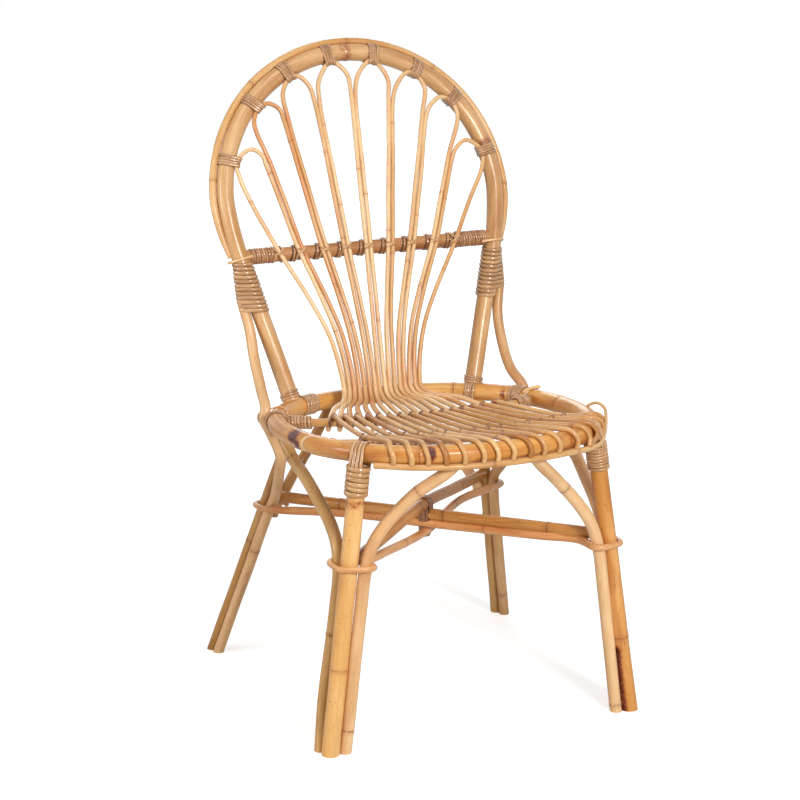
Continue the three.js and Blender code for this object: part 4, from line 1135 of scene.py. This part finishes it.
def side_route(side):
    def along_post(share, width):
        rise = junction_top_rise - junction_length * share
        return post_point(side, rise) + Vector((side * ((hoop_cane + width) / 2 + 0.2), 0, 0))

    top, touch = along_post(0.3, side_tip_cane), along_post(side_touch_share, side_cane)
    reach = (ring_cane + side_cane) / 2 + 0.5
    round_ring = [ring_point(side, side_cane_angle, reach * math.cos(place), reach * math.sin(place))
                  for place in map(math.radians, (32, -8, -45))]
    beside_ring = round_ring[1]
    spacing = (rear_leg_cane + side_cane) / 2 + 0.8
    tied = [beside_leg(rear_leg_point(side, brace_bend_height * share), side, turn, spacing)
            for turn, share in zip(side_turns[side], (0.94, 0.6, 0.3, 0))]
    above_tie = beside_leg(rear_leg_point(side, brace_bend_height + side_cane), side, side_turns[side][0],
                           spacing * 1.2)
    up, down = touch - beside_ring, above_tie - beside_ring
    upper = [beside_ring + Vector((side * ring_cane * out, up.y * back, up.z * rise))
             for rise, back, out in ((0.745, 0.888, -0.3), (0.489, 0.709, -0.33), (0.233, 0.362, -0.3))]
    lower = [beside_ring + Vector((down.x * aside, down.y * back, down.z * fall))
             for fall, back, aside in ((0.4, -0.15, 0.69), (0.62, 0.14, 0.78), (0.8, 0.5, 0.88))]
    return bent_line([top, touch, *upper, *round_ring, *lower, above_tie, *tied]), top.z, touch.z


side_skin = varnished_cane("side_cane", paint(228, 184, 134), paint(190, 138, 80), paint(150, 82, 40),
                           stains=0.35, rings=0.5)
side_knots = {-1: (0.72,), 1: (0.935,)}
rear_leg_skin = varnished_cane("rear_leg_cane", paint(214, 168, 106), paint(176, 124, 60), paint(124, 66, 26),
                               stains=0.5, rings=0.6)
side_lines = {}
for side_name, side in sides:
    line, top_height, touch_height = side_route(side)
    side_lines[side] = line
    along = lengths_along(line)

    def taper(share):
        height = point_along(line, along, share * along[-1]).z
        grown = (top_height - height) / (top_height - touch_height)
        return side_tip_cane + (side_cane - side_tip_cane) * min(1, max(0, grown))

    cane = lay_cane(f"side_cane_{side_name}", line, taper, side_knots[side], seed=150 + side, facets=7,
                    standing=True, wander=0.6)
    finish_piece(cane, side_skin, "side_cane", f"side_cane_{side_name}")
    top = rear_leg_point(side, rear_leg_top(side).z - 6)
    leg = lay_cane(f"rear_leg_{side_name}", straight(top, rear_leg_point(side, 0)), rear_leg_cane, (0.52,),
                   seed=160 + side, facets=7, standing=True, wander=0.5)
    finish_piece(leg, rear_leg_skin, "leg_cane", f"rear_leg_{side_name}")

# Junction lashings. Each post and the tapered top of its side cane are wound together with close
# turns of peel. Where a post meets the ring it is lashed too, and a pale strip ties the corner.
def at_height(line, height):
    return min(line, key=lambda point: abs(point.z - height))


junctions = []
for side_name, side in sides:
    base = post_point(side, junction_top_rise - junction_length)
    foot = at_height(side_lines[side], base.z)
    beside = Vector((foot.x - base.x, foot.y - base.y)).normalized()
    for step in range(junction_turns):
        share = step / (junction_turns - 1)
        origin = post_point(side, junction_top_rise + 1 - (junction_length - 1) * share)
        radius = 1.5 + 5.7 * min(1.0, share / side_touch_share)
        reach = hoop_cane / 2 + radius - 2.5 * (1 - share)
        circles = [((0, 0), hoop_cane / 2 + 0.4), (tuple(beside * reach), radius)]
        if side > 0 and step > 9:
            circles = circles[:1]
        junctions.append(wind_turn(f"junction_{side_name}_{step}", origin, Vector((1, 0, 0)),
                                   Vector((0, 1, 0)), circles, 6.5, 3.2, lean=1.3 * side, seed=step + 71))
    middle, count = (1.012, 7) if side < 0 else (0.915, 4)
    for step in range(count):
        origin, out, lift = ring_section(side, middle, (step - (count - 1) / 2) * 4.3)
        junctions.append(wind_turn(f"post_turn_{side_name}_{step}", origin, out, lift,
                                   [((0, 0), ring_cane / 2)], 4.6, 2.8, lean=1.4, seed=step + 91))
    foot = ring_point(side, post_foot_angle, post_foot_set)
    way = (post_point(side, post_middle_rise) - foot).normalized()
    across = (Vector((1, 0, 0)) - way * way.x).normalized()
    for step in range(3):
        junctions.append(wind_turn(f"foot_turn_{side_name}_{step}", foot + way * (15 + step * 3.6), across,
                                   way.cross(across), [((0, 0), hoop_cane / 2)], 3.8, 2.2,
                                   lean=2.2 * side, seed=step + 131))
junction_lashings = finish_turns("junction_lashings", junctions)
junction_peel = peel_skin("junction_peel", paint(214, 166, 114), paint(168, 120, 74), 0.18, 1.0)
finish_piece(junction_lashings, junction_peel, "peel", "junction_binding_left", "junction_binding_right")

strips = []
origin, out, lift = ring_section(-1, side_cane_angle, 3)
beside = min(side_lines[-1], key=lambda point: (point - origin - out * 21).length) - origin
strips.append(wind_turn("corner_strip", origin, out, lift,
                        [((0, 0), ring_cane / 2), ((beside.dot(out), beside.dot(lift)), side_cane / 2)],
                        4.6, 2.2, sink=0, lean=3.0, seed=201))
origin, out, lift = ring_section(1, math.radians(26))
strips.append(wind_turn("corner_strip_right", origin, out, lift, [((0, 0), ring_cane / 2 + 0.6)], 4.4, 2.0,
                        sink=0, lean=6.0, seed=202))
corner_strips = finish_turns("corner_strips", strips)
finish_piece(corner_strips, pale_peel, "peel")
loose_end = bent_line([ring_point(1, math.radians(place), out, lift) for place, out, lift in
                       ((27, -13, 9), (25.5, -9, 14), (23.5, -4, 17), (21.5, 3, 19))])
loose_strip = lay_cane("corner_strip_end", loose_end, 5.4, seed=203, facets=3, spacing=4)
finish_piece(loose_strip, thin_skin, "peel")

# Stretchers. Two thick canes cross under the seat from each front leg to the far rear leg. Under
# each runs a thinner, redder tie cane whose ends bend round the legs and braces and hold them.
tie_cane = 12
tie_loop_cane = 8
tie_loop_sweep = 250
tie_front_start, tie_rear_start = 221, -41
tie_front_lift = {-1: 14, 1: 4}
tie_height = stretcher_height - (stretcher_cane + tie_cane) / 2 - 0.2


def tie_loop(side, routes, start, raised=0):
    circles = []
    for face in (-1, 1):
        for line, width in routes:
            centre = at_height(line, tie_height + face * tie_loop_cane / 2)
            circles.append(((side * centre.x, centre.y), width / 2))
    loop = []
    for step in range(15):
        angle = math.radians(start + tie_loop_sweep * step / 14)
        place, _ = band_point(circles, angle, tie_loop_cane / 2 + 0.2)
        loop.append(Vector((side * place.x, place.y, tie_height + raised)))
    return loop


def leg_route(point_at, side):
    return [point_at(side, height) for height in range(0, 360, 2)]


stretcher_skin = varnished_cane("stretcher_cane", paint(206, 147, 78), paint(157, 90, 22), paint(104, 46, 12),
                                stains=0.5, coat=0.4)
tie_skin = varnished_cane("tie_cane", paint(232, 183, 128), paint(203, 132, 72), paint(150, 74, 38),
                          stains=0.5, coat=0.4, rings=0.4)
middles = []
for name, front_side in sides:
    rear_side = -front_side
    lift = 1 if front_side < 0 else 0
    front_end = front_leg_point(front_side, stretcher_height)
    beside_rear_leg = side_lines[rear_side], brace_lines[rear_side]["rear"]
    meet = [at_height(line, stretcher_height) for line in beside_rear_leg]
    rear_end = meet[0].lerp(meet[1], 0.5)
    middle = rear_end.lerp(front_end, rear_end.x / (rear_end.x - front_end.x))
    upper_middle = Vector((middle.x, middle.y, stretcher_height + lift * (stretcher_cane - 0.4)))
    forwards = Vector((0, -1, 0))
    lower_middle = Vector((middle.x, middle.y, tie_height - lift * (tie_cane - 0.4) + 1.5)) + forwards * 5
    middles.append(middle)
    upper = bent_line([rear_end, rear_end.lerp(upper_middle, 0.5), upper_middle,
                       upper_middle.lerp(front_end, 0.5), front_end])
    stretcher = lay_cane(f"stretcher_{name}", upper, stretcher_cane, (0.2, 0.52, 0.83),
                         seed=170 + front_side, facets=8)
    finish_piece(stretcher, stretcher_skin, "stretcher_cane", f"stretcher_{name}")
    front_routes = [(leg_route(front_leg_point, front_side), front_leg_cane),
                    (brace_lines[front_side]["front"], brace_cane),
                    (brace_lines[front_side]["side"], brace_cane)]
    rear_routes = [(leg_route(rear_leg_point, rear_side), rear_leg_cane),
                   (side_lines[rear_side], side_cane), (brace_lines[rear_side]["rear"], rear_brace_cane)]
    front_loop = tie_loop(front_side, front_routes, tie_front_start, tie_front_lift[front_side])
    rear_loop = tie_loop(rear_side, rear_routes, tie_rear_start)
    under = [rear_end.lerp(front_end, share) for share in (0.2, 0.5, 0.8, 0.91)]
    for number, point in enumerate(under):
        point.z = tie_height + 2
        under[number] = point + forwards * 7
    under[1] = lower_middle
    under[2].z += 1.5
    under[3].z += 5 if front_side < 0 else 2.5
    line = bent_line([*rear_loop[::-1], *under, *front_loop])

    def thinning(share):
        from_middle = abs(share - 0.5) * 2
        full = tie_cane + 0.4
        return full - (full - tie_loop_cane) * min(1, max(0, (from_middle - 0.62) / 0.2))

    tie = lay_cane(f"stretcher_tie_{name}", line, thinning, (0.33, 0.6), seed=180 + front_side, facets=6,
                   spacing=4)
    finish_piece(tie, tie_skin, "tie_cane", f"stretcher_tie_{name}")

# Lashing where the stretchers cross: dark brown turns of peel in both directions round all four
# canes.
centre = middles[0]
crossing = []
heights = [(stretcher_height + stretcher_cane * step, stretcher_cane) for step in (0, 1)]
heights += [(tie_height - tie_cane * step, tie_cane) for step in (0, 1)]
circles = [((0, height), width / 2) for height, width in heights]
for number, (x, y) in enumerate(((1, 1), (1, -1))):
    for step in range(4):
        across = Vector((x, y, 0)).normalized()
        along = Vector((-y, x, 0)).normalized()
        origin = Vector((centre.x, centre.y, 0)) + along * (step - 1.5) * 3.6
        crossing.append(wind_turn(f"crossing_{number}_{step}", origin, across, Vector((0, 0, 1)), circles,
                                  4.0, 2.0, lean=0.8, seed=step + 111))
stretcher_lashing = finish_turns("stretcher_lashing", crossing)
cross_peel = peel_skin("cross_peel", paint(170, 116, 72), paint(124, 76, 44))
finish_piece(stretcher_lashing, cross_peel, "peel", "stretcher_lashing")
bpy.data.objects.remove(plain_turn)

# Studio: a pale floor and a white room, a key lamp before the chair, weaker lamps at its left side,
# above and behind, and the camera where the photograph was taken. To the camera the floor grows
# whiter away from the chair, so that it keeps the chair's shadow and meets the room unseen.
bpy.ops.mesh.primitive_plane_add(size=14, location=(0, 0, 0))
floor = bpy.context.object
floor.name = "floor"
paper = bpy.data.materials.new("floor_paper")
paper.use_nodes = True
nodes, links = paper.node_tree.nodes, paper.node_tree.links
sheet = nodes["Principled BSDF"]
sheet.inputs["Base Color"].default_value = (0.8, 0.8, 0.8, 1)
sheet.inputs["Roughness"].default_value = 0.9
sheet.inputs["Specular IOR Level"].default_value = 0.1
sheet.inputs["Emission Color"].default_value = (1, 1, 1, 1)
rays = nodes.new("ShaderNodeLightPath")
spot = nodes.new("ShaderNodeTexCoord")
from_chair = nodes.new("ShaderNodeVectorMath")
from_chair.operation = "LENGTH"
links.new(spot.outputs["Object"], from_chair.inputs[0])
far = nodes.new("ShaderNodeMapRange")
for socket, number in zip(("From Min", "From Max", "To Min", "To Max"), (0.7, 3.2, 0.56, 1.0)):
    far.inputs[socket].default_value = number
links.new(from_chair.outputs["Value"], far.inputs["Value"])
glow = nodes.new("ShaderNodeMath")
glow.operation = "MULTIPLY"
links.new(rays.outputs["Is Camera Ray"], glow.inputs[0])
links.new(far.outputs["Result"], glow.inputs[1])
links.new(glow.outputs["Value"], sheet.inputs["Emission Strength"])
floor.data.materials.append(paper)
world = bpy.data.worlds.new("studio")
bpy.context.scene.world = world
world.use_nodes = True
nodes, links = world.node_tree.nodes, world.node_tree.links
sky = nodes["Background"]
sky.inputs["Color"].default_value = (1.0, 1.0, 1.0, 1)
rays = nodes.new("ShaderNodeLightPath")
seen = nodes.new("ShaderNodeMath")
seen.operation = "ADD"
links.new(rays.outputs["Is Camera Ray"], seen.inputs[0])
links.new(rays.outputs["Is Glossy Ray"], seen.inputs[1])
level = nodes.new("ShaderNodeMapRange")
level.inputs["To Min"].default_value = 0.22
level.inputs["To Max"].default_value = 1.0
links.new(seen.outputs["Value"], level.inputs["Value"])
links.new(level.outputs["Result"], sky.inputs["Strength"])

for name, place, size, power in (("key", (0.1, -3.6, 1.9), 0.8, 104), ("side", (-3.2, 0.1, 1.3), 0.9, 32),
                                 ("top", (-0.6, -0.8, 3.4), 1.4, 24), ("back", (0.9, 3.2, 2.0), 1.4, 17)):
    bpy.ops.object.light_add(type="AREA", location=place)
    lamp = bpy.context.object
    lamp.name = name
    lamp.data.size = size
    lamp.data.energy = power
    lamp.rotation_euler = (Vector((0, 0, 0.45)) - Vector(place)).to_track_quat("-Z", "Y").to_euler()

camera_place = Vector((-1.2207, -2.8977, 1.1471))
camera_target = Vector((-0.0213, 0.0216, 0.4263))
bpy.ops.object.camera_add(location=camera_place)
camera = bpy.context.object
camera.rotation_euler = (camera_target - camera_place).to_track_quat("-Z", "Y").to_euler()
camera.data.sensor_width = 36
camera.data.lens = 99.05
camera.data.clip_end = 60
bpy.context.scene.camera = camera
bpy.context.scene.view_settings.view_transform = "Standard"
